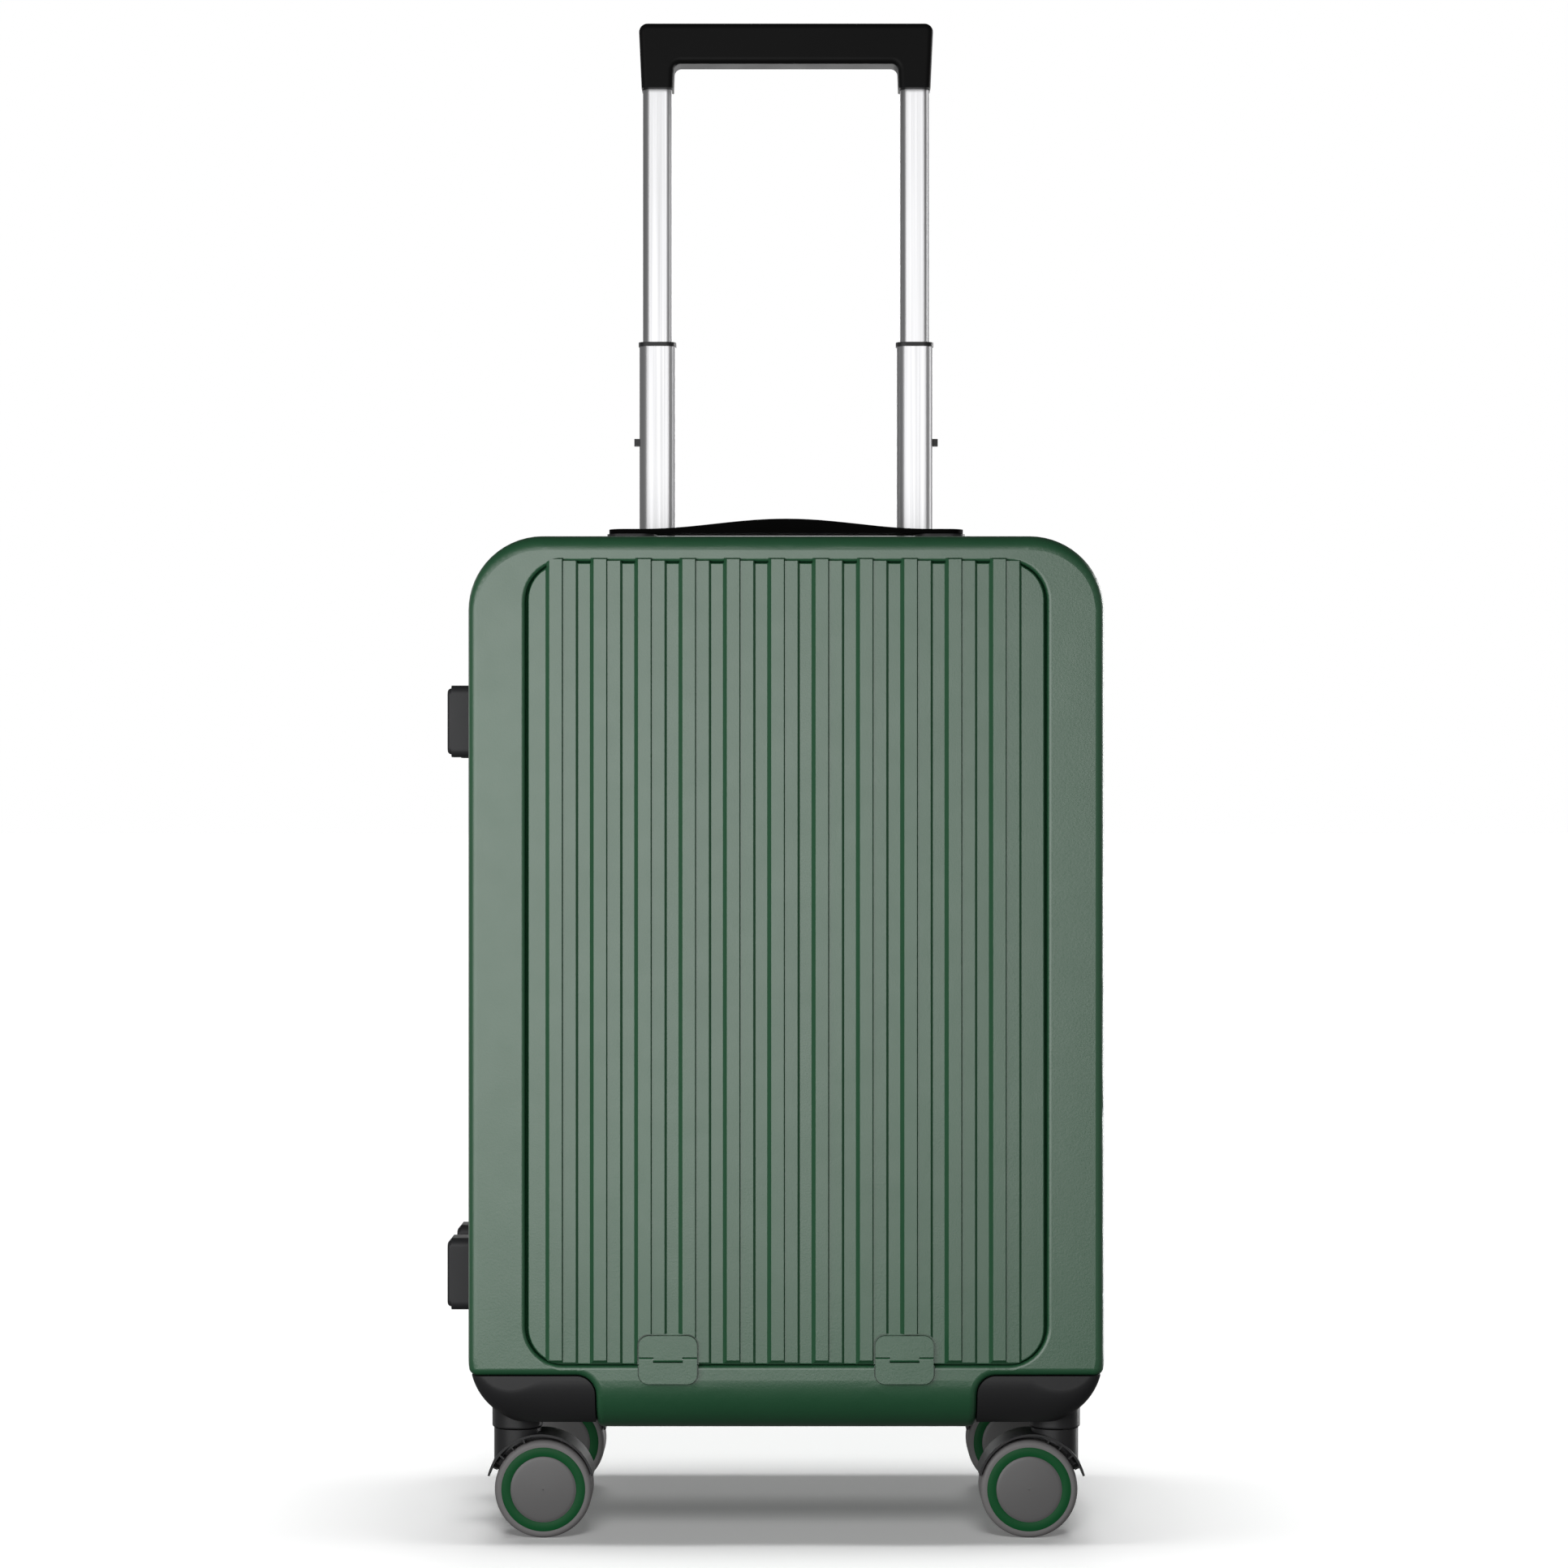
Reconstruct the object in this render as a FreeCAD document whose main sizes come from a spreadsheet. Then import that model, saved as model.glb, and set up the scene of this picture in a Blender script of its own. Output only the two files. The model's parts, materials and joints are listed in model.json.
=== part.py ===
"""Hard shell cabin suitcase: front-opening, four twin-wheel casters, telescopic handle.

Millimetres. +Z is up, the front faces -Y, and the ground is z = 0. The model is laid out about the
shell's own middle plane and then moved sideways, so that the whole object's box is centred on x = 0.
"""
import FreeCAD, Part
import math
import os
import re
from types import SimpleNamespace
from FreeCAD import Placement, Rotation, Vector

# ---------------------------------------------------------------- driving dimensions
DRIVING = {
    # shell: a box with rounded corners that grows from the face to the zip line
    "face_half_width": 171.0, "zip_half_width": 174.0,
    "face_top": 543.1, "zip_top": 548.0, "face_bottom": 60.5, "zip_bottom": 59.5,
    "corner_radius": 40.0, "face_depth": 111.5, "zip_gap": 5.0, "wall": 2.5,
    "side_edge": 5.0, "top_edge": 8.0, "bottom_edge": 29.0,
    "centre_shift": 5.65,
    # lid and the frame around it
    "door_half_width": 138.75, "door_low": 97.8, "door_high": 528.7, "door_corner": 19.6,
    "door_side_gap": 1.6, "door_end_gap": 0.6, "door_face": 111.0, "door_skin": 2.5,
    "door_edge": 0.8, "door_rim_depth": 4.5, "seat_width": 7.0, "seat_back": 101.5,
    # ribs: a high and a middle level on each, stepping down from left to right
    "rib_pitch": 23.83, "rib_first": -129.4, "rib_height": 3.0, "rib_ramp": 2.2,
    "rib_high_land": 6.7, "rib_step": 0.6, "rib_mid_land": 6.8, "rib_last_step": 1.3,
    "rib_high_reach": 2.9, "rib_mid_reach": 1.5, "rib_end_run": 1.1, "rib_foot_run": 2.6,
    # lid hinges
    "leaf_centre": 63.5, "leaf_width": 31.2, "leaf_low": 87.7, "leaf_high": 113.5, "leaf_corner": 5.2,
    "leaf_front": 114.5, "knuckle_radius": 1.3, "knuckle_height": 100.6, "knuckle_width": 15.6,
    "hinge_pin_radius": 0.65,
    # casters
    "stem_x": 146.7, "stem_y": 76.0, "trail": 14.7, "wheel_radius": 26.5, "tyre_inner": 22.8,
    "wheel_width": 9.8, "web_half": 2.2, "wheel_gap": 0.4, "ring_inner": 17.8, "ring_groove": 0.6,
    "axle_radius": 3.0, "stem_radius": 4.0, "stem_seat": 4.6,
    "boss_radius": 13.8, "boss_low": 59.2, "boss_high": 80.0, "fork_top": 58.7,
    "housing_inner_x": 103.0, "housing_top": 91.3, "housing_back": 46.0, "housing_low": 64.5,
    "housing_corner": 10.0, "fender_outer": 29.6, "fender_inner": 28.4,
    "fender_back": 1.5, "fender_lift": 0.5,
    # side feet
    "foot_y": 32.5, "foot_upper": 444.6, "foot_lower": 137.8, "foot_reach": 188.1,
    "foot_height": 39.8, "foot_depth": 24.0, "foot_base": 1.6, "foot_cap": 2.3,
    # telescopic handle
    "tube_x": 75.5, "tube_y": 86.0, "tube_skin": 1.2,
    "inner_width": 17.0, "inner_depth": 12.0, "middle_width": 21.0, "middle_depth": 15.6,
    "outer_width": 25.0, "outer_depth": 19.4, "outer_low": 80.0, "outer_high": 513.5,
    "middle_low": 326.4, "middle_high": 666.4, "inner_low": 590.0, "inner_high": 833.0,
    "collar_lip": 2.4, "grip_low": 817.1, "grip_high": 855.0, "grip_bar_low": 831.4,
    "grip_top_half": 86.3, "grip_low_half": 84.6, "grip_opening_half": 65.5, "grip_depth": 24.0,
    "lock_pin_height": 610.3, "lock_pin_reach": 13.6, "tray_half_width": 89.6, "tray_half_depth": 15.0,
    "tray_floor": 516.5, "tray_rim": 547.2,
    # carry handle
    "carry_y": 25.5, "carry_half": 101.0, "carry_depth": 26.0, "carry_low": 552.6,
    "carry_tip": 2.4, "carry_rise": 8.2, "carry_arch_half": 82.0,
}
RIB_COUNT = 11
# gap between a caster housing and its pocket, and the radius of the skin around the pocket
POCKET_GAP, CORNER_ROLL = 0.35, 4.0
# the cloth hinge's ends, on the left side
HINGE_LOW, HINGE_HIGH = 112.0, 496.0
LOCK_Y, LOCK_DEPTH, LOCK_LOW, LOCK_TALL = 9.0, 22.0, 268.0, 64.0
PULL_LONG = 24.0
PIN_WIDE, PIN_TALL = 4.0, 4.3
# inside the grip: the button's channel and the link bar that joins the push rods
CHANNEL_LOW, CHANNEL_HIGH, BUTTON_HALF = 835.5, 850.5, 16.0
LINK_LOW, LINK_HIGH = 842.0, 846.0

doc = FreeCAD.newDocument("suitcase")
sheet = doc.addObject("Spreadsheet::Sheet", "Sizes")
for row, (alias, value) in enumerate(DRIVING.items(), start=1):
    sheet.set(f"A{row}", alias.replace("_", " "))
    sheet.set(f"B{row}", str(value))
    sheet.setAlias(f"B{row}", alias)
doc.recompute()
S = SimpleNamespace(**{alias: float(getattr(sheet, alias)) for alias in DRIVING})

ALIAS = re.compile(r"\b(" + "|".join(DRIVING) + r")\b")
subparts = []


# ---------------------------------------------------------------- helpers for parametric objects
def bind(obj, **props):
    """Set each property from a formula in the sheet's aliases, such as Length='wall * 2'."""
    for prop, formula in props.items():
        obj.setExpression(prop.replace("__", "."), ALIAS.sub(r"Sizes.\1", str(formula)))
    return obj


def at(obj, x, y, z):
    return bind(obj, Placement__Base__x=x, Placement__Base__y=y, Placement__Base__z=z)


def box(name, x, y, z, length, width, height):
    obj = doc.addObject("Part::Box", name)
    bind(obj, Length=length, Width=width, Height=height)
    return at(obj, x, y, z)


def cylinder(name, x, y, z, radius, height, along="Z"):
    obj = doc.addObject("Part::Cylinder", name)
    turn = {"X": Rotation(Vector(0, 1, 0), 90), "Y": Rotation(Vector(1, 0, 0), -90), "Z": Rotation()}
    obj.Placement = Placement(Vector(), turn[along])
    bind(obj, Radius=radius, Height=height)
    return at(obj, x, y, z)


def cut(name, base, *tools):
    for number, tool in enumerate(tools):
        obj = doc.addObject("Part::Cut", f"{name}_cut_{number}")
        obj.Base, obj.Tool = base, tool
        base = obj
    return base


def fuse(name, *shapes):
    obj = doc.addObject("Part::MultiFuse", name)
    obj.Shapes = list(shapes)
    return obj


def group(name, *members):
    obj = doc.addObject("Part::Compound", name)
    obj.Links = list(members)
    return obj


def mirrored(obj, normal=Vector(1, 0, 0)):
    twin = doc.addObject("Part::Mirroring", obj.Name + "_mirror")
    twin.Source, twin.Normal, twin.Base = obj, normal, Vector()
    return twin


def rounded(name, base, radius, picked):
    """Fillet the edges of base that picked() accepts, all with one radius."""
    doc.recompute()
    obj = doc.addObject("Part::Fillet", name)
    obj.Base = base
    edges = enumerate(base.Shape.Edges, start=1)
    obj.Edges = [(number, radius, radius) for number, edge in edges if picked(edge)]
    return obj


def feature(name, shape):
    obj = doc.addObject("Part::Feature", name)
    obj.Shape = shape
    return obj


def finish(obj, label):
    """Make an object a sub-part: it gets its label and moves with the whole case."""
    obj.Label = label
    bound = {path.strip("."): formula for path, formula in obj.ExpressionEngine}
    if "Placement.Base.x" in bound:
        obj.setExpression("Placement.Base.x", f"{bound['Placement.Base.x']} + Sizes.centre_shift")
    else:
        obj.Placement = Placement(Vector(S.centre_shift, 0, 0), Rotation()).multiply(obj.Placement)
    subparts.append(obj)


def along(edge, axis):
    """True for a straight edge parallel to an axis."""
    if type(edge.Curve).__name__ != "Line":
        return False
    return abs(abs(edge.Curve.Direction.dot(axis)) - 1) < 1e-6


X_AXIS, Y_AXIS, Z_AXIS = Vector(1, 0, 0), Vector(0, 1, 0), Vector(0, 0, 1)


# ---------------------------------------------------------------- sketched bodies
def new_body(name):
    return doc.addObject("PartDesign::Body", name)


def new_sketch(body, name, role):
    sketch = body.newObject("Sketcher::SketchObject", name)
    plane = [item for item in body.Origin.OriginFeatures if item.Role == role][0]
    sketch.AttachmentSupport = [(plane, "")]
    sketch.MapMode = "FlatFace"
    return sketch


def rounded_rectangle(sketch, width, height, radius, numbers):
    """A rounded rectangle centred on the sketch's origin and held by constraints.

    width, height and radius are formulas; numbers are their present values."""
    import Sketcher
    half_w, half_h, r = numbers[0] / 2, numbers[1] / 2, numbers[2]
    first = sketch.GeometryCount
    corners = [(1, -1, -90), (1, 1, 0), (-1, 1, 90), (-1, -1, 180)]
    starts = [(-half_w + r, -half_h), (half_w, -half_h + r), (half_w - r, half_h), (-half_w, half_h - r)]
    ends = [(half_w - r, -half_h), (half_w, half_h - r), (-half_w + r, half_h), (-half_w, -half_h + r)]
    for (sx, sy, angle), start, end in zip(corners, starts, ends):
        sketch.addGeometry(Part.LineSegment(Vector(*start, 0), Vector(*end, 0)), False)
        centre = Vector(sx * (half_w - r), sy * (half_h - r), 0)
        turn = math.radians(angle)
        sketch.addGeometry(Part.ArcOfCircle(Part.Circle(centre, Z_AXIS, r), turn, turn + math.pi / 2), False)
    for line in range(0, 8, 2):
        arc, after = first + line + 1, first + (line + 2) % 8
        sketch.addConstraint(Sketcher.Constraint("Tangent", first + line, 2, arc, 1))
        sketch.addConstraint(Sketcher.Constraint("Tangent", arc, 2, after, 1))
        sketch.addConstraint(Sketcher.Constraint("Vertical" if line % 4 else "Horizontal", first + line))
        if line:
            sketch.addConstraint(Sketcher.Constraint("Equal", first + 1, arc))
    sketch.addConstraint(Sketcher.Constraint("Symmetric", first + 1, 3, first + 5, 3, -1, 1))
    driven = [("Radius", (first + 1,), r, radius),
              ("DistanceX", (first + 6, 1, first + 2, 1), 2 * half_w, width),
              ("DistanceY", (first, 1, first + 4, 1), 2 * half_h, height)]
    for kind, where, value, formula in driven:
        index = sketch.addConstraint(Sketcher.Constraint(kind, *where, value))
        bind(sketch, **{f"Constraints[{index}]": formula})


def pad(body, sketch, length):
    obj = body.newObject("PartDesign::Pad", body.Name + "_pad")
    obj.Profile = sketch
    bind(obj, Length=length)
    return obj


def tube(name, width, depth, radius, skin, length, numbers):
    """A straight tube of rounded rectangular section, standing on its own origin."""
    body = new_body(name)
    sketch = new_sketch(body, name + "_section", "XY_Plane")
    w, d, r, s = numbers
    rounded_rectangle(sketch, width, depth, radius, (w, d, r))
    inner = (w - 2 * s, d - 2 * s, r - s)
    rounded_rectangle(sketch, f"{width} - 2 * {skin}", f"{depth} - 2 * {skin}", f"{radius} - {skin}", inner)
    pad(body, sketch, length)
    return body


# ---------------------------------------------------------------- shell shapes
def outline(half_width, low, high, radius, y):
    """Closed rounded rectangle in the plane of one y, as lines and arcs."""
    radius = max(radius, 1.0)
    sag = radius * (1 - math.sqrt(0.5))
    corners = [(1, -1), (1, 1), (-1, 1), (-1, -1)]
    edges, points = [], []
    for sx, sz in corners:
        x, z = sx * half_width, (high if sz > 0 else low)
        flat = Vector(x - sx * radius, y, z)
        upright = Vector(x, y, z - sz * radius)
        middle = Vector(x - sx * sag, y, z - sz * sag)
        first, last = (flat, upright) if sx * sz < 0 else (upright, flat)
        points.append((first, middle, last))
    for number, (first, middle, last) in enumerate(points):
        edges.append(Part.Arc(first, middle, last).toShape())
        edges.append(Part.makeLine(last, points[(number + 1) % 4][0]))
    return Part.Wire(edges)


def slab(half_width, low, high, radius, y_from, y_to):
    """Rounded rectangular plate between two depths."""
    face = Part.Face(outline(half_width, low, high, radius, y_from))
    return face.extrude(Vector(0, y_to - y_from, 0))


def shell_section(inset, y):
    """Half width, bottom, top and corner radius of the shell at one depth, inset by a wall."""
    share = (S.face_depth - abs(y)) / (S.face_depth - S.zip_gap)
    half = S.face_half_width + share * (S.zip_half_width - S.face_half_width)
    low = S.face_bottom + share * (S.zip_bottom - S.face_bottom)
    high = S.face_top + share * (S.zip_top - S.face_top)
    return half - inset, low + inset, high - inset, S.corner_radius - inset


def shell_block(name, side, inset, zip_y):
    """Solid half of the shell, with soft edges around its face; side is -1 front, 1 rear."""
    face_y = side * (S.face_depth - inset)
    sections = [outline(*shell_section(inset, y), y) for y in (face_y, side * zip_y)]
    base = feature(name + "_loft", Part.makeLoft(sections, True, True))
    edge_radius = {key: max(getattr(S, key) - inset, 2.6) for key in ("side_edge", "top_edge", "bottom_edge")}
    half, low, high, radius = shell_section(inset, face_y)

    def radius_at(point):
        if point.z < low + 0.01:
            return edge_radius["bottom_edge"]
        if point.z > high - 0.01:
            return edge_radius["top_edge"]
        return edge_radius["side_edge"]

    picked = []
    for number, edge in enumerate(base.Shape.Edges, start=1):
        ends = [edge.valueAt(edge.FirstParameter), edge.valueAt(edge.LastParameter)]
        if all(abs(end.y - face_y) < 1e-6 for end in ends):
            picked.append((number, radius_at(ends[0]), radius_at(ends[1])))
    soft = doc.addObject("Part::Fillet", name)
    soft.Base = base
    soft.Edges = picked
    doc.recompute()
    return soft.Shape


def corner_block(side_x, side_y, grow):
    """Room for a caster housing in a bottom corner of the shell, grown by a gap."""
    inner, top = S.housing_inner_x - grow, S.housing_top + grow
    radius = S.housing_corner + grow
    outer, floor = S.zip_half_width + 10, 40.0
    back, front = S.housing_back - grow, S.face_depth + 10
    middle = radius * (1 - math.sqrt(0.5))
    points = [(outer, floor), (inner, floor), (inner, top - radius), (inner + radius, top), (outer, top)]
    p = [Vector(side_x * x, side_y * back, z) for x, z in points]
    arc = Part.Arc(p[2], Vector(side_x * (inner + middle), side_y * back, top - middle), p[3]).toShape()
    lines = [Part.makeLine(p[a], p[b]) for a, b in ((0, 1), (1, 2))] + [arc]
    lines += [Part.makeLine(p[a], p[b]) for a, b in ((3, 4), (4, 0))]
    return Part.Face(Part.Wire(lines)).extrude(Vector(0, side_y * (front - back), 0))


def rib_prisms(side, base_y, low, high, mid_high):
    """Vertical ribs, each with a high and a middle level; side is the way they stand out."""
    tall, half_height = S.rib_height, S.rib_height / 2
    high_steps = [(0, -0.2), (0, 0), (S.rib_ramp, tall), (S.rib_high_land, tall),
                  (S.rib_step, half_height), (0, -0.2)]
    mid_steps = [(0, -0.2), (0, half_height), (S.rib_mid_land, half_height), (S.rib_last_step, 0), (0, -0.2)]
    mid_start = S.rib_ramp + S.rib_high_land + S.rib_step
    ribs = []
    for number in range(RIB_COUNT):
        first = S.rib_first + number * S.rib_pitch
        for x, steps, top in ((first, high_steps, high), (first + mid_start, mid_steps, mid_high)):
            points = []
            for run, height in steps:
                x += run
                points.append(Vector(-side * x, side * (base_y + height), low))
            face = Part.Face(Part.makePolygon(points + points[:1]))
            ribs.append(face.extrude(Vector(0, 0, top - low)))
    return ribs


def rib_end_wedge(side, base_y, z, run, x_from=-200, x_to=200):
    """Tool that slopes rib ends at one height: run is how far the top of the rib stands back."""
    reach = S.rib_height + 0.5
    slope, out = run * reach / S.rib_height, -8 if run > 0 else 8
    corners = [(0, z), (reach, z + slope), (reach, z + out), (0, z + out)]
    points = [Vector(x_from, side * (base_y + y), height) for y, height in corners]
    face = Part.Face(Part.makePolygon(points + points[:1]))
    return face.extrude(Vector(x_to - x_from, 0, 0))


def leaf_plate(grow, y_from, y_to, x):
    """Outline of a lid hinge as a plate, grown by a gap."""
    plate = slab(S.leaf_width / 2 + grow, S.leaf_low - grow, S.leaf_high + grow, S.leaf_corner + grow,
                 y_from, y_to)
    plate.translate(Vector(x, 0, 0))
    return plate


front_block = shell_block("front_outer", -1, 0, S.zip_gap)
rear_block = shell_block("rear_outer", 1, 0, S.zip_gap)
front_hollow = shell_block("front_inner", -1, S.wall, S.zip_gap - 1)
rear_hollow = shell_block("rear_inner", 1, S.wall, S.zip_gap - 1)
for side_x in (-1, 1):
    front_hollow = front_hollow.cut(corner_block(side_x, -1, POCKET_GAP + S.wall))
    rear_hollow = rear_hollow.cut(corner_block(side_x, 1, POCKET_GAP + S.wall))


def on_surface(solid, point):
    """True where a point lies on a solid's boundary."""
    return solid.Shells[0].distToShape(Part.Vertex(point))[0] < 1e-3


def open_corners(shell, side):
    """Cut the caster pockets out of a shell and roll the skin in around them."""
    for side_x in (-1, 1):
        pocket = corner_block(side_x, side, POCKET_GAP)
        shell = shell.cut(pocket)
        skin = front_block if side < 0 else rear_block
        rolled = []
        for edge in shell.Edges:
            middle = edge.valueAt((edge.FirstParameter + edge.LastParameter) / 2)
            ends = [edge.valueAt(edge.FirstParameter), middle, edge.valueAt(edge.LastParameter)]
            on_both = all(on_surface(solid, point) for point in ends for solid in (skin, pocket))
            if on_both and abs(middle.y) > S.housing_back:
                rolled.append(edge)
        shell = shell.makeFillet(CORNER_ROLL, rolled)
    return shell


# ---------------------------------------------------------------- front shell
def make_front_shell():
    front = -S.face_depth
    half, radius = S.door_half_width + S.door_side_gap, S.door_corner + 1.4
    low, high = S.door_low - S.door_end_gap, S.door_high + S.door_end_gap
    skin, seat = S.wall, S.seat_width
    seat_front = -S.seat_back - 2.0
    shell = front_block.cut(front_hollow)
    collar = slab(half + skin, low - skin, high + skin, radius + skin, front + 1, -S.seat_back)
    shell = shell.fuse(collar.common(front_block))
    # the recess narrows towards its floor, so that its wall meets the seat in a slope
    slope = 2.4
    mouth = slab(half, low, high, radius, front - 5, seat_front - slope)
    narrow = [outline(half - d, low + d, high - d, radius - d, y)
              for d, y in ((0, seat_front - slope), (slope, seat_front))]
    shell = shell.cut(mouth).cut(Part.makeLoft(narrow, True, True))
    shell = shell.cut(slab(half - seat, low + seat, high - seat, radius - seat, seat_front - 1, 0))
    shell = open_corners(shell, -1)
    # the lip around the lid rolls in softly
    rim = [edge for edge in shell.Edges
           if abs(edge.BoundBox.YMin - front) < 1e-4 and abs(edge.BoundBox.YMax - front) < 1e-4
           and abs(edge.CenterOfMass.x) < half + 0.5 and low - 0.5 < edge.CenterOfMass.z < high + 0.5]
    shell = shell.makeFillet(2.2, rim)
    # shallow seats for the lower leaves of the lid hinges
    for x in (-S.leaf_centre, S.leaf_centre):
        shell = shell.cut(leaf_plate(0.7, front - 5, front + 1.5, x))
    return shell.removeSplitter()


finish(feature("FrontShell", make_front_shell()), "front_shell")


# ---------------------------------------------------------------- front lid
def make_door():
    face = -S.door_face
    inner = face + S.door_skin
    plate = slab(S.door_half_width, S.door_low, S.door_high, S.door_corner, face, inner)
    rim = [edge for edge in plate.Edges
           if abs(edge.BoundBox.YMin - face) < 1e-4 and abs(edge.BoundBox.YMax - face) < 1e-4]
    plate = plate.makeFillet(S.door_edge - 0.05, rim)
    in_rim, skin = 3.0, 2.0
    flange = [slab(S.door_half_width - d, S.door_low + d, S.door_high - d, S.door_corner - d,
                   inner - 0.2, inner + S.door_rim_depth) for d in (in_rim, in_rim + skin)]
    high_end, mid_end = S.door_high + S.rib_high_reach, S.door_high + S.rib_mid_reach
    lid_prism = slab(S.door_half_width, S.door_low, high_end, S.door_corner, face - 10, inner)
    ribs = rib_prisms(-1, S.door_face, S.door_low, high_end, mid_end)
    ribs = [rib.common(lid_prism) for rib in ribs]
    field = ribs[0].multiFuse(ribs[1:])
    field = field.cut(rib_end_wedge(-1, S.door_face, S.door_low, S.rib_foot_run))
    field = field.cut(rib_end_wedge(-1, S.door_face, high_end, -S.rib_end_run))
    mid_start = S.rib_ramp + S.rib_high_land + S.rib_step
    for number in range(RIB_COUNT):
        x = S.rib_first + number * S.rib_pitch + mid_start
        last_x = x + S.rib_mid_land + 1.4
        field = field.cut(rib_end_wedge(-1, S.door_face, mid_end, -S.rib_end_run, x, last_x))
    # beyond the lid's edge the rib ends only hang in front of the shell's face
    front_room = S.face_depth + 0.3
    around = Part.makeBox(400, 20, 60, Vector(-200, -front_room, S.door_high - 25))
    around = around.cut(slab(S.door_half_width, S.door_low, S.door_high, S.door_corner, -front_room - 1, 0))
    field = field.cut(around)
    for x in (-S.leaf_centre, S.leaf_centre):
        field = field.cut(leaf_plate(0.9, face - 10, face, x))
    return plate.multiFuse([flange[0].cut(flange[1]), field]).removeSplitter()


finish(feature("FrontDoor", make_door()), "front_door")


# ---------------------------------------------------------------- lid hinges
def make_leaves(upper):
    """Both leaves of one kind: the upper ones turn with the lid, the lower ones stay on the shell."""
    pin_y, pin_z = S.leaf_front - S.knuckle_radius, S.knuckle_height
    clear, half = 0.2, S.knuckle_width / 2
    leaves = []
    back = S.door_face if upper else S.face_depth - 0.8
    for x in (-S.leaf_centre, S.leaf_centre):
        plate = leaf_plate(0, -S.leaf_front, -back, x)
        top_line = pin_z + S.knuckle_radius + clear
        low_line = pin_z - S.knuckle_radius - clear
        long = S.leaf_width
        barrel = Part.makeCylinder(S.knuckle_radius, long, Vector(x - long / 2, -pin_y, pin_z), X_AXIS)
        middle = Part.makeBox(2 * half, 20, 60, Vector(x - half, -120, 70))
        outer = Part.makeBox(2 * half + 2 * clear, 20, 60, Vector(x - half - clear, -120, 70))
        above = Part.makeBox(60, 20, 40, Vector(x - 30, -120, pin_z))
        if upper:
            far = Part.makeBox(60, 20, 40, Vector(x - 30, -120, top_line))
            leaf = plate.common(far).multiFuse([plate.common(above).common(middle), barrel.common(middle)])
            bore = S.hinge_pin_radius + 0.06
        else:
            far = Part.makeBox(60, 20, 40, Vector(x - 30, -120, low_line - 40))
            below = Part.makeBox(60, 20, 40, Vector(x - 30, -120, pin_z - 40))
            leaf = plate.common(far).multiFuse([plate.common(below).cut(outer), barrel.cut(outer)])
            leaf = leaf.cut(Part.makeBox(60, 5, 20, Vector(x - 30, -S.face_depth, S.door_low - 0.9)))
            bore = S.hinge_pin_radius
        leaf = leaf.cut(Part.makeCylinder(bore, 60, Vector(x - 30, -pin_y, pin_z), X_AXIS))
        leaves.append(leaf.removeSplitter())
    return Part.makeCompound(leaves)


finish(feature("UpperLeaves", make_leaves(True)), "door_hinge_leaves_upper")
finish(feature("LowerLeaves", make_leaves(False)), "door_hinge_leaves_lower")
hinge_pins = [cylinder(f"hinge_pin_{side}", f"{sign} * leaf_centre - leaf_width / 2 + 0.4",
                       "knuckle_radius - leaf_front", "knuckle_height", "hinge_pin_radius",
                       "leaf_width - 0.8", "X") for side, sign in (("left", -1), ("right", 1))]
finish(group("HingePins", *hinge_pins), "door_hinge_pins")


# ---------------------------------------------------------------- rear shell
def make_rear_shell():
    shell = rear_block.cut(rear_hollow)
    shell = open_corners(shell, 1)
    low, high, run = 108.0, 518.0, 4.8
    ribs = rib_prisms(1, S.face_depth, low, high, high)
    field = ribs[0].multiFuse(ribs[1:])
    for z, stand_back in ((low, run), (high, -run)):
        field = field.cut(rib_end_wedge(1, S.face_depth, z, stand_back))
    shell = shell.fuse(field)
    # mouth for the handle's tray, and the lock's window on the right
    half_x, half_y = S.tray_half_width + 2.3, S.tray_half_depth + 2.3
    shell = shell.cut(Part.makeBox(2 * half_x, 2 * half_y, 40, Vector(-half_x, S.tube_y - half_y, 520)))
    shell = shell.cut(Part.makeBox(20, LOCK_DEPTH + 0.4, LOCK_TALL + 0.4,
                                   Vector(164, LOCK_Y - 0.2, LOCK_LOW - 0.2)))
    return shell.removeSplitter()


finish(feature("RearShell", make_rear_shell()), "rear_shell")


# ---------------------------------------------------------------- compartment wall and lid catches
def make_panel():
    gap = 0.4
    space = shell_block("panel_space", -1, S.wall + gap, S.zip_gap - 1)
    for side_x in (-1, 1):
        space = space.cut(corner_block(side_x, -1, POCKET_GAP + S.wall + gap))
    sheet_of_board = Part.makeBox(400, 2.0, 600, Vector(-200, -62, 0))
    return space.common(sheet_of_board)


finish(feature("Panel", make_panel()), "compartment_panel")
catch_low = "door_high + door_end_gap - seat_width - 6"
catches = [box(f"catch_{side}", f"{sign} * 90 - 12", "-seat_back", catch_low, 24, 5, 10.5)
           for side, sign in (("left", -1), ("right", 1))]
finish(group("Catches", *catches), "door_catches")


# ---------------------------------------------------------------- zip tapes and the cloth hinge
def ring(inset, thick, y_from, y_to):
    """Band that follows the shell's outline at the zip line."""
    outer = slab(*shell_section(inset, S.zip_gap), y_from, y_to)
    return outer.cut(slab(*shell_section(inset + thick, S.zip_gap), y_from - 1, y_to + 1))


def make_tape(side):
    split = 0.15
    low, high = sorted((side * split, side * 15.0))
    tape = ring(S.wall + 0.6, 1.2, low, high)
    low, high = sorted((side * split, side * 2.4))
    chain = ring(0.9, 2.6, low, high)
    tape = tape.fuse(chain)
    hinge_side = Part.makeBox(60, 60, HINGE_HIGH - HINGE_LOW, Vector(-200, -30, HINGE_LOW))
    lock_side = Part.makeBox(30, 12, LOCK_TALL + 2, Vector(155, LOCK_Y - 0.5, LOCK_LOW - 1))
    return tape.cut(hinge_side).cut(lock_side).removeSplitter()


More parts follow.
